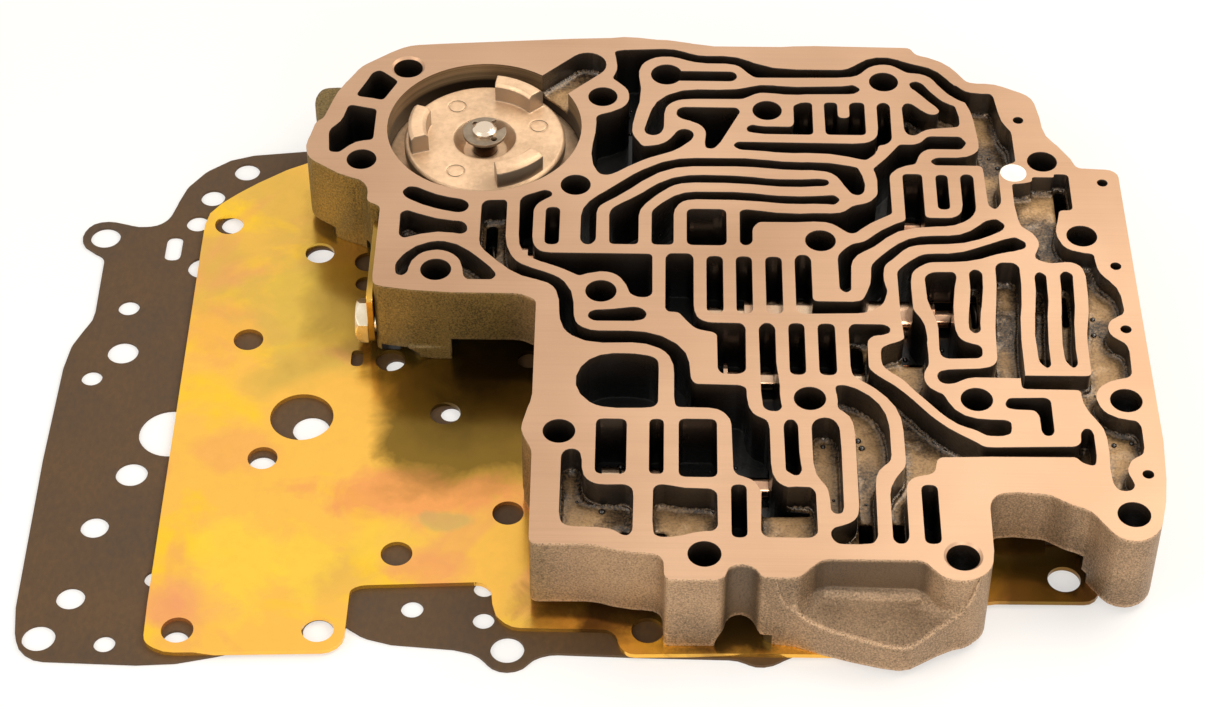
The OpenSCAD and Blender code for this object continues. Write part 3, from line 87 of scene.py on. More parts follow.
# small helpers for shader trees
class Tree:
    def __init__(self, name):
        self.material = bpy.data.materials.new(name)
        self.material.use_nodes = True
        self.nodes = self.material.node_tree.nodes
        self.links = self.material.node_tree.links
        self.shader = self.nodes["Principled BSDF"]
        self.coords = self.add("ShaderNodeTexCoord").outputs["Object"]

    def add(self, kind, **values):
        node = self.nodes.new(kind)
        for key, value in values.items():
            setattr(node, key, value)
        return node

    def set(self, **values):
        for key, value in values.items():
            self.shader.inputs[key.replace("_", " ")].default_value = value

    def link(self, output, socket):
        self.links.new(output, socket)

    def toShader(self, name, output):
        self.links.new(output, self.shader.inputs[name])

    def stretched(self, scale):
        node = self.add("ShaderNodeMapping")
        node.inputs["Scale"].default_value = scale
        self.link(self.coords, node.inputs["Vector"])
        return node.outputs["Vector"]

    def noise(self, scale, detail, rough, distort=0.0, vector=None):
        node = self.add("ShaderNodeTexNoise")
        node.inputs["Scale"].default_value = scale
        node.inputs["Detail"].default_value = detail
        node.inputs["Roughness"].default_value = rough
        node.inputs["Distortion"].default_value = distort
        self.link(vector if vector is not None else self.coords, node.inputs["Vector"])
        return node.outputs["Fac"]

    def ramp(self, fac, stops):
        node = self.add("ShaderNodeValToRGB")
        parts = node.color_ramp.elements
        while len(parts) < len(stops):
            parts.new(0.5)
        for part, (place, colour) in zip(parts, stops):
            part.position = place
            part.color = colour
        self.link(fac, node.inputs["Fac"])
        return node.outputs["Color"]

    def remap(self, value, low, high, toLow=0.0, toHigh=1.0):
        node = self.add("ShaderNodeMapRange")
        for key, number in (("From Min", low), ("From Max", high), ("To Min", toLow), ("To Max", toHigh)):
            node.inputs[key].default_value = number
        self.link(value, node.inputs["Value"])
        return node.outputs["Result"]

    def maths(self, kind, a, b):
        node = self.add("ShaderNodeMath", operation=kind)
        for socket, value in zip(node.inputs, (a, b)):
            if isinstance(value, (int, float)):
                socket.default_value = value
            else:
                self.link(value, socket)
        return node.outputs["Value"]

    def times(self, first, *others):
        for other in others:
            first = self.maths("MULTIPLY", first, other)
        return first

    def weighed(self, share, a, b):
        # a share of one value and the rest of the other
        return self.maths("ADD", self.times(a, share), self.times(b, 1 - share))

    def mixed(self, fac, a, b):
        node = self.add("ShaderNodeMix", data_type="RGBA")
        self.link(fac, node.inputs["Factor"])
        for socket, value in ((node.inputs[6], a), (node.inputs[7], b)):  # the colour pair
            if isinstance(value, tuple):
                socket.default_value = value
            else:
                self.link(value, socket)
        return node.outputs[2]

    def place(self):
        node = self.add("ShaderNodeSeparateXYZ")
        self.link(self.coords, node.inputs["Vector"])
        return [node.outputs[axis] for axis in "XYZ"]

    def below(self, name):
        # depth under the top of a CAD piece
        return self.maths("SUBTRACT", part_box(name)[1].z, self.place()[2])

    def within(self, value, low, high, fade):
        # 1 between two places in mm, faded out over the given length
        up = self.remap(value, (low - fade) * mm, low * mm)
        down = self.remap(value, high * mm, (high + fade) * mm, 1.0, 0.0)
        return self.times(up, down)

    def blob(self, middle, halves, wander, soft=0.3):
        # 1 inside an oval given in mm, with a wandering edge
        parts = []
        for place, m, half in zip(self.place(), middle, halves):
            off = self.maths("DIVIDE", self.maths("SUBTRACT", place, m * mm), half * mm)
            parts.append(self.times(off, off))
        far = self.maths("SQRT", self.maths("ADD", *parts), 0.0)
        return self.remap(self.maths("ADD", far, wander), 1 + soft, 1 - soft)

    def upward(self):
        # how far a face looks up
        node = self.add("ShaderNodeSeparateXYZ")
        self.link(self.add("ShaderNodeNewGeometry").outputs["Normal"], node.inputs["Vector"])
        return node.outputs["Z"]

    def bump(self, height, distance, strength, normal=None):
        node = self.add("ShaderNodeBump")
        node.inputs["Distance"].default_value = distance
        node.inputs["Strength"].default_value = strength
        self.link(height, node.inputs["Height"])
        if normal is not None:
            self.link(normal, node.inputs["Normal"])
        return node.outputs["Normal"]

    def corners(self, reach):
        # 1 along outer corners, 0 on open faces
        node = self.add("ShaderNodeAmbientOcclusion", inside=True, only_local=True, samples=6)
        node.inputs["Distance"].default_value = reach
        return self.remap(node.outputs["AO"], 0.96, 0.6)

    def soft(self, radius):
        # normals rounded over at corners
        node = self.add("ShaderNodeBevel", samples=4)
        node.inputs["Radius"].default_value = radius
        return node.outputs["Normal"]


# the milled top of the casting: fine cutter lines along X, a little stain
milledLook = {
    "pale": linear(206, 169, 138), "dark": linear(178, 140, 110), "rough": (0.40, 0.52),
    "lines": 3600, "lineShare": 0.22, "lineDepth": 0.006, "clouds": 16,
}


def milledFace():
    t = Tree("milled_face")
    lines = t.noise(1.0, 3.0, 0.6, vector=t.stretched((14, milledLook["lines"], 14)))
    tone = t.weighed(milledLook["lineShare"], lines, t.noise(milledLook["clouds"], 3.0, 0.5))
    t.toShader("Base Color", t.ramp(tone, [(0.32, milledLook["dark"]), (0.68, milledLook["pale"])]))
    t.toShader("Roughness", t.remap(lines, 0.3, 0.7, *milledLook["rough"]))
    t.toShader("Normal", t.bump(lines, milledLook["lineDepth"] * mm, 0.4))
    t.set(Metallic=0.72)
    return t.material


# rough cast iron of the outer walls: grains and shallow pits, with painted reflection, painted shade and
# painted highlights in places
castLook = {
    "pale": linear(178, 146, 112), "dark": linear(84, 68, 50), "rough": (0.58, 0.36),
    "grain": 2300, "grainShare": 0.6, "grainDepth": 0.14, "clouds": 38, "pits": 520, "pitDepth": 0.16,
    "corner": 1.0,
    # the walls to the left take an olive tint, a painted reflection of the yellow plate with painted shade,
    # from one X in mm to the other
    "olivePale": linear(140, 116, 58), "oliveDark": linear(58, 48, 20),
    "oliveFrom": (-6, -22), "oliveShare": 0.9,
    # oily places darkened with painted shade: X, Y and Z from and to in mm, fade and strength
    "oily": linear(66, 54, 42), "oilyGloss": 0.16,
    "oilyPlaces": [
        ((52, 76), (-97, -80), (15.5, 24), 2.0, 0.72),
        ((32, 38), (-91.5, -80), (0, 30), 1.4, 0.7),
    ],
    # the scoop's floor is a little darker than the walls, painted shade on its upward faces: X and Y from
    # and to in mm, fade and strength
    "scoop": ((44, 86), (-99, -84), 2.0, 0.24),
    # outer corners are paler: rubbed wear with a painted highlight
    "worn": linear(214, 178, 142), "wornReach": 1.3, "wornShare": 0.85,
}


def castWall():
    t = Tree("cast_wall")
    grain = t.noise(castLook["grain"], 4.0, 0.62)
    pits = t.noise(castLook["pits"], 3.0, 0.5)
    tone = t.weighed(castLook["grainShare"], grain, t.noise(castLook["clouds"], 3.0, 0.5))
    iron = t.ramp(tone, [(0.36, castLook["dark"]), (0.64, castLook["pale"])])
    # olive copy of the iron for the left walls: painted reflection of the yellow plate and painted shade
    bounceOlive = t.ramp(tone, [(0.36, castLook["oliveDark"]), (0.64, castLook["olivePale"])])
    x, y, z = t.place()
    left = t.remap(x, *(v * mm for v in castLook["oliveFrom"]), 0.0, castLook["oliveShare"])
    colour = t.mixed(left, iron, bounceOlive)
    rough = t.remap(grain, 0.3, 0.7, *castLook["rough"])
    # oily places in the scoop and the groove: oil with painted shade
    for alongX, alongY, alongZ, fade, share in castLook["oilyPlaces"]:
        inPlan = t.times(t.within(x, *alongX, fade), t.within(y, *alongY, fade))
        here = t.times(inPlan, t.within(z, *alongZ, fade), share)
        colour = t.mixed(here, colour, castLook["oily"])
        rough = t.maths("SUBTRACT", rough, t.times(here, castLook["oilyGloss"]))
    # painted shade on the upward faces of the scoop
    alongX, alongY, fade, share = castLook["scoop"]
    flat = t.remap(t.upward(), 0.3, 0.7, 0.0, share)
    here = t.times(t.within(x, *alongX, fade), t.within(y, *alongY, fade), flat)
    colour = t.mixed(here, colour, castLook["oily"])
    # paler outer corners: rubbed wear with a painted highlight
    worn = t.times(t.corners(castLook["wornReach"] * mm), castLook["wornShare"], t.remap(grain, 0.35, 0.55))
    colour = t.mixed(t.times(worn, t.maths("SUBTRACT", 1.0, left)), colour, castLook["worn"])
    t.toShader("Base Color", colour)
    t.toShader("Roughness", rough)
    fine = t.bump(grain, castLook["grainDepth"] * mm, 0.9, t.soft(castLook["corner"] * mm))
    t.toShader("Normal", t.bump(pits, castLook["pitDepth"] * mm, 0.5, fine))
    t.set(Metallic=0.5)
    return t.material


# oily cast iron inside the passages: darker with depth as painted shade, with a wet film
passageLook = {
    "lip": linear(52, 40, 29), "wall": linear(30, 23, 18), "deep": linear(9, 8, 8),
    "deepest": 16, "stain": 75, "stainDepth": 3.2, "grain": 900, "grainDepth": 0.24, "corner": 0.7,
    "film": 0.5,
}


def oiledShadedPassage():
    t = Tree("oiled_passage")
    grain = t.noise(passageLook["grain"], 4.0, 0.6)
    stain = t.noise(passageLook["stain"], 4.0, 0.6)
    # painted shade: darker with depth below the milled face
    depth = t.maths("ADD", t.below("casting"), t.times(stain, passageLook["stainDepth"] * mm))
    t.toShader("Base Color", t.ramp(t.remap(depth, 0.0, passageLook["deepest"] * mm), [
        (0.08, passageLook["lip"]), (0.3, passageLook["wall"]), (0.8, passageLook["deep"])]))
    t.toShader("Roughness", t.remap(stain, 0.35, 0.65, 0.26, 0.5))
    corner = t.soft(passageLook["corner"] * mm)
    t.toShader("Normal", t.bump(grain, passageLook["grainDepth"] * mm, 0.8, corner))
    t.set(Metallic=0.2, Coat_Weight=passageLook["film"], Coat_Roughness=0.12)
    return t.material


# raised cast floors: pale in the open; dark along the walls and in pools, painted shade with a wet film of
# oil
wetShadedLook = {
    "pale": linear(198, 158, 110), "mid": linear(138, 109, 75), "dark": linear(48, 38, 28),
    "reach": (0.1, 2.7), "drift": 90, "wander": 4.0, "film": 60, "grain": 1500, "grainDepth": 0.2,
    # pools of oil darkened with painted shade: middle and half sizes in mm
    "pools": [
        ((102.6, 58), (6, 6)), ((112, 28), (8, 7)), ((121, 16), (7, 7)), ((123, -4), (4, 3)),
        ((100.3, -3), (5, 7)),
    ],
    "poolShare": 0.85,
}


def wetShadedFloor():
    t = Tree("wet_floor")
    grain = t.noise(wetShadedLook["grain"], 3.0, 0.65)
    wander = t.maths("SUBTRACT", t.noise(wetShadedLook["drift"], 3.0, 0.55), 0.5)
    pools = t.remap(t.noise(wetShadedLook["film"], 3.0, 0.5, vector=t.stretched((1, 0.7, 1))), 0.5, 0.62)
    for middle, halves in wetShadedLook["pools"]:
        pools = t.maths("MAXIMUM", pools, t.blob(middle, halves, wander))
    gap = t.add("ShaderNodeAttribute", attribute_name="wall_gap").outputs["Fac"]
    # darker near the walls and in the pools: painted shade with oil
    away = t.remap(t.maths("ADD", gap, t.times(wander, wetShadedLook["wander"])), *wetShadedLook["reach"])
    away = t.times(away, t.maths("SUBTRACT", 1.0, t.times(pools, wetShadedLook["poolShare"])))
    tone = t.maths("ADD", t.times(away, 0.7), t.times(t.maths("SUBTRACT", grain, 0.42), 1.3))
    t.toShader("Base Color", t.ramp(tone, [
        (0.05, wetShadedLook["dark"]), (0.42, wetShadedLook["mid"]), (0.85, wetShadedLook["pale"])]))
    t.toShader("Roughness", t.remap(away, 0.0, 1.0, 0.24, 0.52))
    height = t.times(grain, t.remap(away, 0.0, 1.0, 0.3, 1.0))
    t.toShader("Normal", t.bump(height, wetShadedLook["grainDepth"] * mm, 0.9))
    t.set(Metallic=0.3, Coat_Weight=0.3, Coat_Roughness=0.16)
    return t.material


# the bored wall of the accumulator: a clean lip at the top, oily below with painted shade
boreLook = {
    "pale": linear(146, 122, 92), "dark": linear(104, 86, 62), "oily": linear(36, 28, 20),
    "lip": 5.0, "rings": 2400, "ringDepth": 0.01,
}


def boredWall():
    t = Tree("bored_wall")
    rings = t.noise(1.0, 3.0, 0.6, vector=t.stretched((10, 10, boreLook["rings"])))
    clean = t.ramp(rings, [(0.35, boreLook["dark"]), (0.65, boreLook["pale"])])
    # darker below the lip: oil with painted shade
    oily = t.remap(t.below("casting"), (boreLook["lip"] - 0.3) * mm, (boreLook["lip"] + 0.5) * mm)
    t.toShader("Base Color", t.mixed(oily, clean, boreLook["oily"]))
    t.toShader("Roughness", t.remap(rings, 0.3, 0.7, 0.32, 0.46))
    t.toShader("Normal", t.bump(rings, boreLook["ringDepth"] * mm, 0.5))
    t.set(Metallic=0.6)
    return t.material


# yellow chromate over zinc: gold, with yellow, pink and green clouds, and olive and dark stains beside the
# casting, chromate colour with painted shadow and painted reflection of the casting
plateLook = {
    "gold": linear(252, 194, 84), "yellow": linear(255, 206, 52), "pink": linear(240, 164, 104),
    "green": linear(206, 176, 82), "speck": linear(150, 110, 40), "speckShare": 0.06, "speckDepth": 0.008,
    "rough": (0.15, 0.26), "cloudShare": 0.9, "wander": 60, "ragged": 2.4, "raggedReach": 7,
    # sizes of the clouds, more is finer
    "greenSize": 13, "pinkSize": 22, "yellowSize": 26, "raggedSize": 85, "speckSize": 320, "roughSize": 60,
    # stains, chromate colour with painted shadow and painted reflection of the casting: colour, strength,
    # and the two lines in mm between which they fade in along X and along Y
    "stains": [
        (linear(112, 88, 28), 0.9, (-56, -46), (-48, -34)), (linear(48, 32, 11), 0.9, (-46, -31), (-30, -8)),
        (linear(158, 124, 54), 0.7, (-71, -60), (0, 16)), (linear(92, 70, 28), 0.85, (76, 90), (-200, -190)),
    ],
    # patches: colour, strength, middle and half sizes in mm; the dark ones in front of the casting are
    # painted reflection and painted shadow of the casting
    "patches": [
        (linear(255, 214, 70), 0.7, (-82, -70), (11, 13)), (linear(255, 214, 70), 0.6, (-65, -69), (6, 12)),
        (linear(255, 212, 70), 0.55, (-45, -62), (9, 7)), (linear(244, 158, 96), 0.75, (-38, -46), (24, 7)),
        (linear(242, 160, 104), 0.6, (-37, -69), (9, 6)), (linear(190, 178, 108), 0.5, (-33, -54), (7, 2.6)),
        (linear(246, 172, 96), 0.55, (-92, 9), (13, 9)), (linear(246, 170, 98), 0.5, (-85, -32), (10, 7)),
        (linear(218, 184, 84), 0.7, (-74, 18), (12, 18)), (linear(244, 164, 110), 0.6, (-100, -80), (16, 7)),
        # painted reflection and painted shadow of the casting on the plate in front of it
        (linear(116, 74, 32), 0.65, (0, -79), (13, 7)), (linear(82, 52, 32), 0.75, (9, -82), (10, 9)),
        (linear(80, 54, 34), 0.8, (31, -85), (13, 7)),
    ],
}


def yellowZinc(name="yellow_zinc", gloss=1.0):
    t = Tree(name)
    green = t.noise(plateLook["greenSize"], 3.0, 0.5, 0.8)
    pink = t.noise(plateLook["pinkSize"], 3.0, 0.55, 1.2, t.stretched((1, 0.7, 1)))
    yellow = t.noise(plateLook["yellowSize"], 4.0, 0.6, 0.6, t.stretched((1, 1.3, 1)))
    fine = t.noise(plateLook["speckSize"], 3.0, 0.6)
    torn = t.noise(plateLook["raggedSize"], 4.0, 0.6, 0.4)
    share = plateLook["cloudShare"]
    base = t.mixed(t.remap(green, 0.52, 0.7), plateLook["gold"], plateLook["green"])
    base = t.mixed(t.remap(yellow, 0.52, 0.66, 0.0, share), base, plateLook["yellow"])
    base = t.mixed(t.remap(pink, 0.54, 0.68, 0.0, share), base, plateLook["pink"])
    ragged = t.times(t.maths("SUBTRACT", torn, 0.5), plateLook["ragged"])
    wander = t.times(t.maths("SUBTRACT", green, 0.5), plateLook["wander"] * mm)
    wander = t.maths("ADD", wander, t.times(ragged, plateLook["raggedReach"] * mm))
    x, y = (t.maths("ADD", place, wander) for place in t.place()[:2])
    for colour, strength, middle, halves in plateLook["patches"]:
        base = t.mixed(t.times(t.blob(middle, halves, ragged), strength), base, colour)
    # stains beside the casting: chromate colour with painted shadow and painted reflection
    for colour, strength, alongX, alongY in plateLook["stains"]:
        fromLeft = t.remap(x, *(v * mm for v in alongX))
        fromFront = t.remap(y, *(v * mm for v in alongY), 0.0, strength)
        base = t.mixed(t.times(fromLeft, fromFront), base, colour)
    specks = t.remap(fine, 0.3, 0.7, 0.0, plateLook["speckShare"])
    t.toShader("Base Color", t.mixed(specks, base, plateLook["speck"]))
    rough = (r * gloss for r in plateLook["rough"])
    t.toShader("Roughness", t.remap(t.noise(plateLook["roughSize"], 4.0, 0.6), 0.3, 0.7, *rough))
    t.toShader("Normal", t.bump(fine, plateLook["speckDepth"] * mm, 0.5))
    t.set(Metallic=0.85)
    return t.material


# black fibre gasket, rubbed brown in places
gasketLook = {
    "dark": linear(58, 40, 18), "pale": linear(88, 61, 28), "fibres": (900, 500, 900), "fibreDepth": 0.03,
}


def gasketFibre():
    t = Tree("gasket_fibre")
    fibre = t.noise(1.0, 4.0, 0.6, vector=t.stretched(gasketLook["fibres"]))
    rub = t.noise(30, 4.0, 0.6)
    tone = t.weighed(0.4, fibre, rub)
    t.toShader("Base Color", t.ramp(tone, [(0.3, gasketLook["dark"]), (0.7, gasketLook["pale"])]))
    t.toShader("Roughness", t.remap(rub, 0.3, 0.7, 0.56, 0.7))
    t.toShader("Normal", t.bump(fibre, gasketLook["fibreDepth"] * mm, 0.5))
    return t.material


# plain metals: pale and dark colour, roughness from and to, grain, its depth in mm, how metallic
metalLooks = {
    "oiled_steel": (linear(236, 208, 176), linear(176, 116, 84), (0.1, 0.2), 180, 0.004, 1.0),
    "bright_steel": (linear(226, 214, 200), linear(178, 164, 150), (0.12, 0.24), 260, 0.004, 1.0),
    "spring_steel": (linear(116, 104, 92), linear(66, 58, 50), (0.26, 0.42), 380, 0.01, 0.9),
    "clip_steel": (linear(176, 158, 136), linear(124, 108, 90), (0.3, 0.44), 380, 0.01, 0.7),
    "bright_zinc": (linear(236, 224, 200), linear(196, 178, 140), (0.2, 0.34), 300, 0.01, 0.95),
    "cup_zinc": (linear(255, 250, 240), linear(238, 226, 208), (0.3, 0.42), 260, 0.01, 0.6),
}


def plainMetal(name):
    pale, dark, rough, grain, depth, metallic = metalLooks[name]
    t = Tree(name)
    fine = t.noise(grain, 4.0, 0.6)
    clouds = t.noise(70, 3.0, 0.5)
    t.toShader("Base Color", t.ramp(t.weighed(0.4, fine, clouds), [(0.32, dark), (0.66, pale)]))
    t.toShader("Roughness", t.remap(clouds, 0.3, 0.7, *rough))
    t.toShader("Normal", t.bump(fine, depth * mm, 0.6, t.soft(0.12 * mm)))
    t.set(Metallic=metallic)
    return t.material


# die-cast piston: pale tops, greyer sides as painted shade
dieLook = {
    "pale": linear(250, 212, 172), "dark": linear(212, 176, 140), "side": linear(142, 124, 104),
    "grain": 700, "grainDepth": 0.05, "corner": 0.9,
}


def dieCast():
    t = Tree("die_cast")
    fine = t.noise(dieLook["grain"], 4.0, 0.6)
    clouds = t.noise(80, 3.0, 0.5)
    top = t.ramp(t.weighed(0.4, fine, clouds), [(0.34, dieLook["dark"]), (0.62, dieLook["pale"])])
    # painted shade: the sides greyer than the tops
    t.toShader("Base Color", t.mixed(t.remap(t.upward(), 0.2, 0.85), dieLook["side"], top))
    t.toShader("Roughness", t.remap(clouds, 0.3, 0.7, 0.34, 0.48))
    t.toShader("Normal", t.bump(fine, dieLook["grainDepth"] * mm, 0.6, t.soft(dieLook["corner"] * mm)))
    t.set(Metallic=0.6)
    return t.material


# guide pin: bright head, dark shank below the clip as painted shade and painted reflection on oily steel
pinLook = {"head": linear(226, 208, 186), "shank": linear(58, 43, 30), "headHeight": 2.4, "fade": 0.2}


def guidePin():
    t = Tree("guide_pin")
    height, fade = pinLook["headHeight"], pinLook["fade"]
    # painted shade and painted reflection: the shank darker below the head
    shank = t.remap(t.below("accumulator_pin"), (height - fade) * mm, (height + fade) * mm)
    t.toShader("Base Color", t.mixed(shank, pinLook["head"], pinLook["shank"]))
    t.toShader("Roughness", t.remap(t.noise(300, 3.0, 0.6), 0.3, 0.7, 0.16, 0.28))
    t.set(Metallic=0.95)
    return t.material


# black rubber of the piston's seal ring
sealLook = {"dark": linear(22, 21, 20), "pale": linear(40, 38, 36), "grain": 600}


def sealRubber():
    t = Tree("seal_rubber")
    fine = t.noise(sealLook["grain"], 3.0, 0.6)
    t.toShader("Base Color", t.ramp(fine, [(0.3, sealLook["dark"]), (0.7, sealLook["pale"])]))
    t.toShader("Roughness", t.remap(fine, 0.3, 0.7, 0.45, 0.62))
    return t.material


def dress(name, *materials):
    slots = nodes[name].data.materials
    slots.clear()
    for material in materials:
        slots.append(material)


milled, cast, oiledShaded, bored, wetShaded = milledFace(), castWall(), oiledShadedPassage(), boredWall(), wetShadedFloor()
steel, springSteel, oiledSteel = (plainMetal(n) for n in ("bright_steel", "spring_steel", "oiled_steel"))
dress("separator_plate", yellowZinc())
dress("gasket", gasketFibre())
dress("cover_plate", yellowZinc("cover_zinc", 0.8))
dress("cover_bolt", plainMetal("bright_zinc"))
dress("accumulator_piston", dieCast())
dress("accumulator_ring", sealRubber())
dress("accumulator_clip", plainMetal("clip_steel"))
dress("accumulator_pin", guidePin())
dress("retaining_pins", springSteel)
dress("passage_plug", plainMetal("cup_zinc"))
for name in nodes:
    if name.endswith("_valve"):
        dress(name, oiledSteel)
    elif name.endswith("_plug") and name != "passage_plug":
        dress(name, steel)
print("finishes made")


# the casting keeps its solid: each face gets the finish of its place
castingFinish = {
    "faceBand": 0.05, "chamferBand": 0.6, "outlineStep": 0.25, "boreRadius": 25.4,
    # how far the normals of flat, chamfered and downward faces look up
    "flat": 0.99, "chamfer": (0.3, 0.95), "down": -0.5,
}


def outerLoop(mesh, top):
    # the outer border of the milled face, in plan
    used = {}
    for p in mesh.polygons:
        if p.normal.z > castingFinish["flat"] and abs(p.center.z - top) < castingFinish["faceBand"] * mm:
            corners = [tuple(round(c, 6) for c in mesh.vertices[v].co[:2]) for v in p.vertices]
            for a, b in zip(corners, corners[1:] + corners[:1]):
                used[(a, b)] = True
    ahead = {a: b for a, b in used if (b, a) not in used}
    loops = []
    while ahead:
        start, point = ahead.popitem()
        loop = [start, point]
        while point in ahead:
            point = ahead.pop(point)
            loop.append(point)
        loops.append(loop)

    def spread(loop):
        return abs(sum(a[0] * b[1] - b[0] * a[1] for a, b in zip(loop, loop[1:] + loop[:1])))
    return max(loops, key=spread)


def isInside(point, loop):
    inside = False
    x, y = point
    for (x0, y0), (x1, y1) in zip(loop, loop[1:] + loop[:1]):
        if (y0 > y) != (y1 > y) and x < x0 + (y - y0) * (x1 - x0) / (y1 - y0):
            inside = not inside
    return inside


def finishCasting():
    mesh = nodes["casting"].data
    dress("casting", milled, cast, oiledShaded, bored)
    milledSlot, castSlot, oiledShadedSlot, boredSlot = range(4)
    top = max(v.co.z for v in mesh.vertices)
    low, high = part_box("accumulator_piston")
    middle = (low + high) / 2
    loop = outerLoop(mesh, top)
    step = castingFinish["outlineStep"] * mm
    for p in mesh.polygons:
        at = p.center + p.normal * step
        isFace = p.normal.z > castingFinish["flat"] and p.center.z > top - castingFinish["faceBand"] * mm
        leans = castingFinish["chamfer"][0] < p.normal.z < castingFinish["chamfer"][1]
        isChamfer = leans and p.center.z > top - castingFinish["chamferBand"] * mm
        if isFace or isChamfer:
            p.material_index = milledSlot
        elif p.normal.z < castingFinish["down"] or not isInside(at[:2], loop):
            p.material_index = castSlot
        elif (at - middle).xy.length < castingFinish["boreRadius"] * mm:
            p.material_index = boredSlot
        else:
            p.material_index = oiledShadedSlot
    return top, loop


faceTop, faceLoop = finishCasting()
print("casting finished, outline of", len(faceLoop), "points")


# cast floors of the raised passages: lumps, and a fillet where a wall goes up, lengths in mm
floorLook = {
    "drops": {"shallow_floor": 6.0, "channel_floor": 7.0, "raised_floor": 8.0},  # below the milled face
    "step": 0.8, "rowPitch": 0.866, "jitter": 0.12, "seed": 4,  # loose grid of the open floor
    "wallStep": 0.12, "probe": 0.1,  # points felt along the walls, and a step off them
    "rows": (0.16, 0.4, 0.75, 1.15), "rowKeep": 0.93, "rowGap": 0.3, "rimGap": 0.45,  # rows beside the walls
    "fillet": 1.5, "lifted": 0.04, "skin": 0.5,
    "lump": 0.35, "lumpBase": 0.5, "lumpSize": 5.0, "lumpFade": 1.6, "lumpNoise": (0.7, 2.0, 4),
}
straightDown = Vector((0, 0, -1))
near = 0.01 * mm
mergeGap = 1e-7


def planTree(points):
    # search tree of places in plan
    tree = KDTree(len(points))
    for i, p in enumerate(points):
        tree.insert((p.x, p.y, 0), i)
    tree.balance()
    return tree


def gapTo(tree, p):
    return tree.find((p[0], p[1], 0))[2]


def castingPiece(name, mesh):
    # a piece that stays with the casting
    piece = bpy.data.objects.new(name, mesh)
    scene.collection.objects.link(piece)
    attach(piece, rootBody)
    return piece


def floorOutline(mesh, level):
    # triangles of one floor, and which of its border edges have a wall above
    def key(v):
        return tuple(round(c, 6) for c in mesh.vertices[v].co)
    flat, beside = [], {}
    for p in mesh.polygons:
        corners = [key(v) for v in p.vertices]
        isFloor = p.normal.z > castingFinish["flat"] and abs(p.center.z - level) < near
        if isFloor:
            flat.append(corners)
        for a, b in zip(corners, corners[1:] + corners[:1]):
            beside.setdefault(frozenset((a, b)), []).append((isFloor, p.center.z))
    border = []
    for edge, faces in beside.items():
        if len(edge) == 2 and sum(f for f, z in faces) == 1:
            a, b = edge
            border.append((Vector(a), Vector(b), any(z > level + near for f, z in faces if not f)))
    return flat, border


def borderPoints(border, step):
    # points and edges along the border, and close points along its walls
    points, edges, rising, index = [], [], [], {}

    def place(p):
        key = (round(p.x, 6), round(p.y, 6))
        if key not in index:
            index[key] = len(points)
            points.append(p.xy)
        return index[key]
    for a, b, goesUp in border:
        length = (b - a).length
        parts = max(1, math.ceil(length / step))
        row = [a.lerp(b, i / parts) for i in range(parts + 1)]
        for p, q in zip(row, row[1:]):
            edges.append((place(p), place(q)))
        if goesUp:
            fine = max(2, math.ceil(length / (floorLook["wallStep"] * mm)))
            rising += [a.lerp(b, i / fine) for i in range(fine + 1)]
    return points, edges, rising


def wallRows(border, step, walls, isOver):
    # rows of points beside each wall, so that the fillet comes out even
    rows = []
    for a, b, goesUp in border:
        length = (b - a).length
        if not goesUp or length < near / 10:
            continue
        across = Vector((a.y - b.y, b.x - a.x)).normalized()
        parts = max(1, math.ceil(length / step))
        for i in range(parts):
            mid = a.lerp(b, (i + 0.5) / parts).xy
            inward = across if isOver(*(mid + across * floorLook["probe"] * mm)) else -across
            for row in floorLook["rows"]:
                at = mid + inward * row * mm
                if isOver(*at) and gapTo(walls, at) > floorLook["rowKeep"] * row * mm:
                    rows.append(at)
    return rows


def openPoints(corners, step, walls, rims, isOver):
    # a loose grid over the rest of the floor
    draw = random.Random(floorLook["seed"])
    jitter = floorLook["jitter"]
    clear = (floorLook["rows"][-1] + floorLook["rowGap"]) * mm
    xs, ys = [c.x for c in corners], [c.y for c in corners]
    found = []
    row, y = 0, min(ys)
    while y < max(ys):
        x = min(xs) + (row % 2) * step / 2
        while x < max(xs):
            at = (x + draw.uniform(-jitter, jitter) * step, y + draw.uniform(-jitter, jitter) * step)
            if gapTo(walls, at) > clear and isOver(*at) and gapTo(rims, at) > floorLook["rimGap"] * step:
                found.append(Vector(at))
            x += step
        y += step * floorLook["rowPitch"]
        row += 1
    return found


def floorSkin(name, plan, triangles, lift, foot):
    # a closed skin: the lumpy top, a flat back and a rim between them
    count = len(plan)
    verts = [(p.x, p.y, lift(p)) for p in plan]
    verts += [(p.x, p.y, foot) for p in plan]
    tops = []
    for t in triangles:
        a, b, c = (plan[i] for i in t)
        tops.append(tuple(t) if (b - a).cross(c - a) > 0 else tuple(reversed(t)))
    backs = [tuple(i + count for i in reversed(t)) for t in tops]
    sides = dict.fromkeys(edge for t in tops for edge in zip(t, t[1:] + t[:1]))
    rim = [(b, a, a + count, b + count) for a, b in sides if (b, a) not in sides]
    mesh = bpy.data.meshes.new(name)
    mesh.from_pydata(verts, [], tops + backs + rim)
    work = bmesh.new()
    work.from_mesh(mesh)
    bmesh.ops.delete(work, geom=[v for v in work.verts if not v.link_faces], context="VERTS")
    work.to_mesh(mesh)
    work.free()
    mesh.shade_smooth()
    mesh.materials.append(wetShaded)
    return mesh


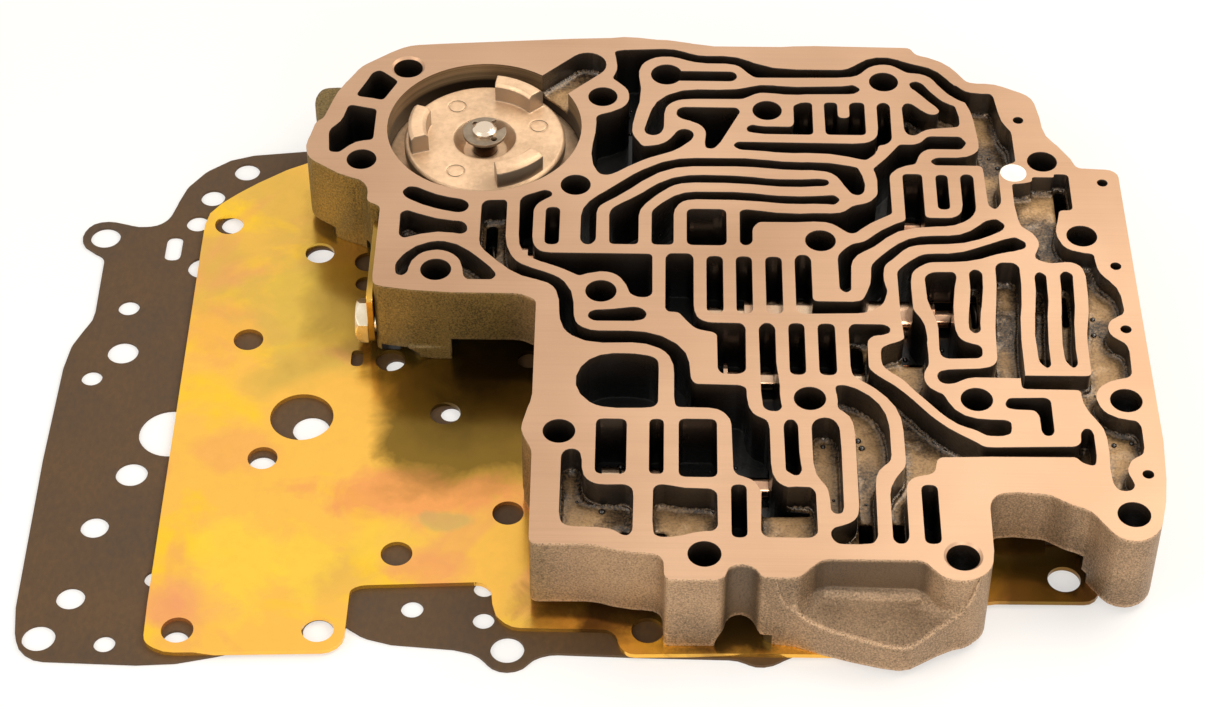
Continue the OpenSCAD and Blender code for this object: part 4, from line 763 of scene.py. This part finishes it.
def castFloor(level, name):
    flat, border = floorOutline(nodes["casting"].data, level)
    corners = [Vector(c) for tri in flat for c in tri]
    under = BVHTree.FromPolygons(corners, [(i, i + 1, i + 2) for i in range(0, len(corners), 3)])

    def isOver(x, y):
        return under.ray_cast(Vector((x, y, level + mm)), straightDown, 2 * mm)[0] is not None

    step = floorLook["step"] * mm
    points, edges, rising = borderPoints(border, step)
    walls, rims = planTree(rising), planTree(points)
    points += wallRows(border, step, walls, isOver)
    points += openPoints(corners, step, walls, rims, isOver)
    plan, _, triangles = delaunay_2d_cdt(points, edges, [], 0, mergeGap)[:3]
    triangles = [t for t in triangles if isOver(*(sum((plan[i] for i in t), Vector((0, 0))) / 3))]

    def lift(p):
        reach = floorLook["fillet"] * mm
        rise = reach - math.sqrt(max(0, reach ** 2 - max(0, reach - gapTo(walls, p)) ** 2))
        grow = min(1, gapTo(rims, p) / (floorLook["lumpFade"] * mm))
        at = Vector((p.x, p.y, level)) / (floorLook["lumpSize"] * mm)
        bump = noise.fractal(at, *floorLook["lumpNoise"])
        lump = max(0, floorLook["lump"] * mm * (floorLook["lumpBase"] + bump)) * grow
        return level + floorLook["lifted"] * mm + rise + lump

    skin = floorSkin(name, plan, triangles, lift, level - floorLook["skin"] * mm)
    gaps = skin.attributes.new("wall_gap", "FLOAT", "POINT")  # in mm, for the finish
    for v, gap in zip(skin.vertices, gaps.data):
        gap.value = gapTo(walls, v.co) / mm
    print(name, len(skin.polygons), "faces")
    return castingPiece(name, skin)


floors = [castFloor(faceTop - drop * mm, name) for name, drop in floorLook["drops"].items()]


# drops of oil left on the floors of the passages, clear of the valves and the piston
oilLook = {
    "colour": linear(34, 23, 14), "count": 110, "tries": 20000, "seed": 11,
    "radius": (0.28, 0.85), "flat": 0.6, "sunk": 0.35,
    # where drops may lie, in mm: least depth, how far down they are sought, and gaps in plan
    "leastDepth": 4, "sought": 17, "pistonGap": 27, "valveGap": 6,
    # the floor under a drop: how far it looks up, and how far around it is felt and how uneven, in radii
    "level": 0.8, "felt": 1.3, "feltTurns": (0, 1.57, 3.14, 4.71), "uneven": 0.5,
}


def oilDrops():
    t = Tree("oil_drop")
    t.set(Base_Color=oilLook["colour"], Roughness=0.05, IOR=1.47, Coat_Weight=0.8, Coat_Roughness=0.03)
    work = bmesh.new()
    for piece in [nodes["casting"]] + floors:
        work.from_mesh(piece.data)
    ground = BVHTree.FromBMesh(work)
    work.free()
    low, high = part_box("casting")
    piston = (sum(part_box("accumulator_piston"), Vector()) / 2).xy
    lanes = [sum(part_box(name), Vector()).y / 2 for name in nodes if name.endswith("_valve")]

    def floorUnder(x, y):
        return ground.ray_cast(Vector((x, y, faceTop + mm)), straightDown, oilLook["sought"] * mm)[:2]

    def isClear(p):
        fromPiston = (p.xy - piston).length
        fromValves = min(abs(p.y - y) for y in lanes)
        return fromPiston >= oilLook["pistonGap"] * mm and fromValves >= oilLook["valveGap"] * mm

    def isEven(p, r):
        turns = [Vector((math.cos(a), math.sin(a), 0)) for a in oilLook["feltTurns"]]
        around = [p + turn * r * oilLook["felt"] for turn in turns]
        beside = [floorUnder(q.x, q.y)[0] for q in around]
        return all(q is not None and abs(q.z - p.z) <= oilLook["uneven"] * r for q in beside)

    draw = random.Random(oilLook["seed"])
    work = bmesh.new()
    made = tries = 0
    while made < oilLook["count"] and tries < oilLook["tries"]:
        tries += 1
        r = draw.uniform(*oilLook["radius"]) * mm
        hit, normal = floorUnder(draw.uniform(low.x, high.x), draw.uniform(low.y, high.y))
        if hit is None or normal.z < oilLook["level"] or hit.z > faceTop - oilLook["leastDepth"] * mm:
            continue
        if not (isInside(hit.xy, faceLoop) and isClear(hit) and isEven(hit, r)):
            continue
        raised = r * oilLook["flat"] * (1 - 2 * oilLook["sunk"])
        for v in bmesh.ops.create_icosphere(work, subdivisions=2, radius=r)["verts"]:
            v.co = hit + Vector((v.co.x, v.co.y, v.co.z * oilLook["flat"] + raised))
        made += 1
    mesh = bpy.data.meshes.new("oil_drops")
    work.to_mesh(mesh)
    work.free()
    mesh.shade_smooth()
    mesh.materials.append(t.material)
    castingPiece("oil_drops", mesh)
    print("oil drops:", made)


oilDrops()


# springs as smooth wire, in place of the CAD springs
springLook = {
    "sides": 12, "perTurn": 28,
    "closed": 0.9, "closedPitch": 2.04,  # closed turns at each end, their pitch in wire radii
}
valveSprings = {
    # name: bodies at its low and its high end, axis, wire diameter in mm, turns
    "detent_spring": ("detent_valve", rootBody, 0, 1.1, 9),
    "low_shift_spring": ("low_shift_valve", rootBody, 0, 1.1, 9),
    "high_shift_spring": ("high_shift_valve", rootBody, 0, 1.1, 11),
    "regulator_spring": ("regulator_valve", rootBody, 0, 1.1, 10),
    "timing_spring": (rootBody, "timing_valve", 0, 1.1, 13),
    "pressure_spring": ("pressure_valve", "boost_valve", 0, 1.1, 11),
    "accumulator_spring": (rootBody, "piston", 2, 2.0, 3),
}


def wireRings(name, axis, wire, turns):
    # rings of points along the wire, and the middle of each ring
    low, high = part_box(name)
    base = (low + high) / 2
    base[axis] = low[axis]
    across = 1 if axis == 0 else 0
    wireR = wire / 2 * mm
    meanR = (high[across] - low[across]) / 2 - wireR
    length = high[axis] - low[axis] - 2 * wireR
    count = int(turns * springLook["perTurn"])
    endPart = springLook["closed"] / turns
    closed = springLook["closed"] * springLook["closedPitch"] * wireR

    def along(t):
        # closed coils at both ends, an even pitch between them
        if t < endPart:
            return closed * t / endPart
        if t > 1 - endPart:
            return length - closed * (1 - t) / endPart
        return closed + (t - endPart) / (1 - 2 * endPart) * (length - 2 * closed)

    def placed(r, a, h):
        p = Vector((r * math.cos(a), r * math.sin(a), h))
        return base + (Vector((p.z, p.x, p.y)) if axis == 0 else p)
    rings, middles = [], []
    for i in range(count + 1):
        a = 2 * math.pi * i / springLook["perTurn"]
        h = along(i / count) + wireR
        around = [2 * math.pi * k / springLook["sides"] for k in range(springLook["sides"])]
        rings.append([placed(meanR + wireR * math.cos(b), a, h + wireR * math.sin(b)) for b in around])
        middles.append(placed(0, 0, h))
    return rings, middles


def wirePiece(name, rings):
    sides = len(rings[0])
    faces = [tuple(range(sides)), tuple((len(rings) - 1) * sides + k for k in reversed(range(sides)))]
    for i in range(len(rings) - 1):
        for k in range(sides):
            p, q = i * sides + k, i * sides + (k + 1) % sides
            faces.append((p, p + sides, q + sides, q))
    made = bpy.data.meshes.new(name)
    made.from_pydata([v for ring in rings for v in ring], [], faces)
    work = bmesh.new()
    work.from_mesh(made)
    bmesh.ops.recalc_face_normals(work, faces=work.faces)
    work.to_mesh(made)
    work.free()
    made.shade_smooth()
    made.materials.append(springSteel)
    piece = bpy.data.objects.new(name, made)
    scene.collection.objects.link(piece)
    return piece


def wireSpring(name, lowBody, highBody, axis, wire, turns):
    rings, middles = wireRings(name, axis, wire, turns)
    last = len(rings) - 1
    parts = [("_wire", 0, last, lowBody, highBody)]
    if rootBody not in (lowBody, highBody):
        # both ends move: two pieces that meet at the middle coil
        half = last // 2
        parts = [("_wire", 0, half, lowBody, rootBody), ("_wire_end", half, last, rootBody, highBody)]
    for ending, first, final, fromBody, toBody in parts:
        piece = wirePiece(name + ending, rings[first:final + 1])
        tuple(middles[first])
        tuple(middles[final])
        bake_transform(piece)
        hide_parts(name)


for name, facts in valveSprings.items():
    wireSpring(name, *facts)
print("springs wound")


# small edge breaks on the thin and turned pieces, widths in mm
edgeBreaks = {
    "cover_plate": 0.25, "cover_bolt": 0.2, "accumulator_pin": 0.4, "accumulator_clip": 0.12,
    "passage_plug": 0.3, "manual_valve": 0.2,
}
edgeLook = {"weld": 0.001, "segments": 3, "angle": 40}


def breakEdges():
    for name, width in edgeBreaks.items():
        mesh = nodes[name].data
        if "custom_normal" in mesh.attributes:
            mesh.attributes.remove(mesh.attributes["custom_normal"])
        mesh.shade_smooth()
        weld = nodes[name].modifiers.new("weld", "WELD")
        weld.merge_threshold = edgeLook["weld"] * mm
        bevel = nodes[name].modifiers.new("edge_break", "BEVEL")
        bevel.width = width * mm
        bevel.segments = edgeLook["segments"]
        bevel.limit_method = "ANGLE"
        bevel.angle_limit = math.radians(edgeLook["angle"])
        weighted = nodes[name].modifiers.new("face_normals", "WEIGHTED_NORMAL")
        weighted.mode = "FACE_AREA"


breakEdges()
print("edges broken")


def lamp(name, place, size, power, colour):
    light = bpy.data.lights.new(name, "AREA")
    light.shape = "DISK"
    light.size = size * mm
    light.energy = power
    light.color = colour
    piece = bpy.data.objects.new(name, light)
    piece.location = inMetres(place)
    aim = inMetres(viewSettings["target"]) - piece.location
    piece.rotation_euler = aim.to_track_quat("-Z", "Y").to_euler()
    scene.collection.objects.link(piece)


def seenShare(tree):
    # 1 where the camera or a reflection looks, 0 for the light that falls on the part
    path = tree.nodes.new("ShaderNodeLightPath")
    a = tree.nodes.new("ShaderNodeMath")
    b = tree.nodes.new("ShaderNodeMath")
    for node in (a, b):
        node.operation = "MAXIMUM"
    tree.links.new(path.outputs["Is Camera Ray"], a.inputs[0])
    tree.links.new(path.outputs["Is Glossy Ray"], a.inputs[1])
    tree.links.new(a.outputs["Value"], b.inputs[0])
    tree.links.new(path.outputs["Is Transmission Ray"], b.inputs[1])
    return b.outputs["Value"]


def paleFloor():
    v = viewSettings
    half = v["floorHalf"] * mm
    mesh = bpy.data.meshes.new("floor")
    corners = [(-half, -half, 0), (half, -half, 0), (half, half, 0), (-half, half, 0)]
    mesh.from_pydata(corners, [], [(0, 1, 2, 3)])
    floor = bpy.data.objects.new("floor", mesh)
    floor.location.z = -v["floorDrop"] * mm
    scene.collection.objects.link(floor)
    material = bpy.data.materials.new("pale_floor")
    material.use_nodes = True
    tree = material.node_tree
    shader = tree.nodes["Principled BSDF"]
    shader.inputs["Base Color"].default_value = (*v["floorColour"], 1)
    shader.inputs["Roughness"].default_value = v["floorRough"]
    glow = tree.nodes.new("ShaderNodeEmission")
    glow.inputs["Color"].default_value = (*v["glowColour"], 1)
    mix = tree.nodes.new("ShaderNodeMixShader")
    share = tree.nodes.new("ShaderNodeMath")
    share.operation = "MULTIPLY"
    share.inputs[1].default_value = v["floorGlow"]
    tree.links.new(seenShare(tree), share.inputs[0])
    tree.links.new(share.outputs["Value"], mix.inputs["Fac"])
    tree.links.new(shader.outputs["BSDF"], mix.inputs[1])
    tree.links.new(glow.outputs["Emission"], mix.inputs[2])
    tree.links.new(mix.outputs["Shader"], tree.nodes["Material Output"].inputs["Surface"])
    mesh.materials.append(material)


def studioLight():
    v = viewSettings
    world = bpy.data.worlds.new("studio")
    scene.world = world
    world.use_nodes = True
    tree = world.node_tree
    ground = tree.nodes["Background"]
    ground.inputs["Color"].default_value = (*v["worldColour"], 1)
    strength = tree.nodes.new("ShaderNodeMapRange")
    strength.inputs["To Min"].default_value = v["worldLight"]
    strength.inputs["To Max"].default_value = 1.0
    tree.links.new(seenShare(tree), strength.inputs["Value"])
    tree.links.new(strength.outputs["Result"], ground.inputs["Strength"])
    for name in ("key", "fill", "front"):
        lamp(name, v[name + "Place"], v[name + "Size"], v[name + "Power"], v[name + "Colour"])


def setCamera():
    v = viewSettings
    camera = bpy.data.objects.new("camera", bpy.data.cameras.new("camera"))
    camera.data.lens = v["lens"]
    camera.data.sensor_width = v["sensor"]
    camera.data.sensor_fit = "HORIZONTAL"
    camera.data.clip_start, camera.data.clip_end = (c * mm for c in v["clip"])
    camera.location = inMetres(v["camera"])
    aim = inMetres(v["target"]) - camera.location
    camera.rotation_euler = aim.to_track_quat("-Z", "Y").to_euler()
    scene.collection.objects.link(camera)
    scene.camera = camera


paleFloor()
studioLight()
setCamera()
scene.view_settings.view_transform = "Standard"
print("stage set")
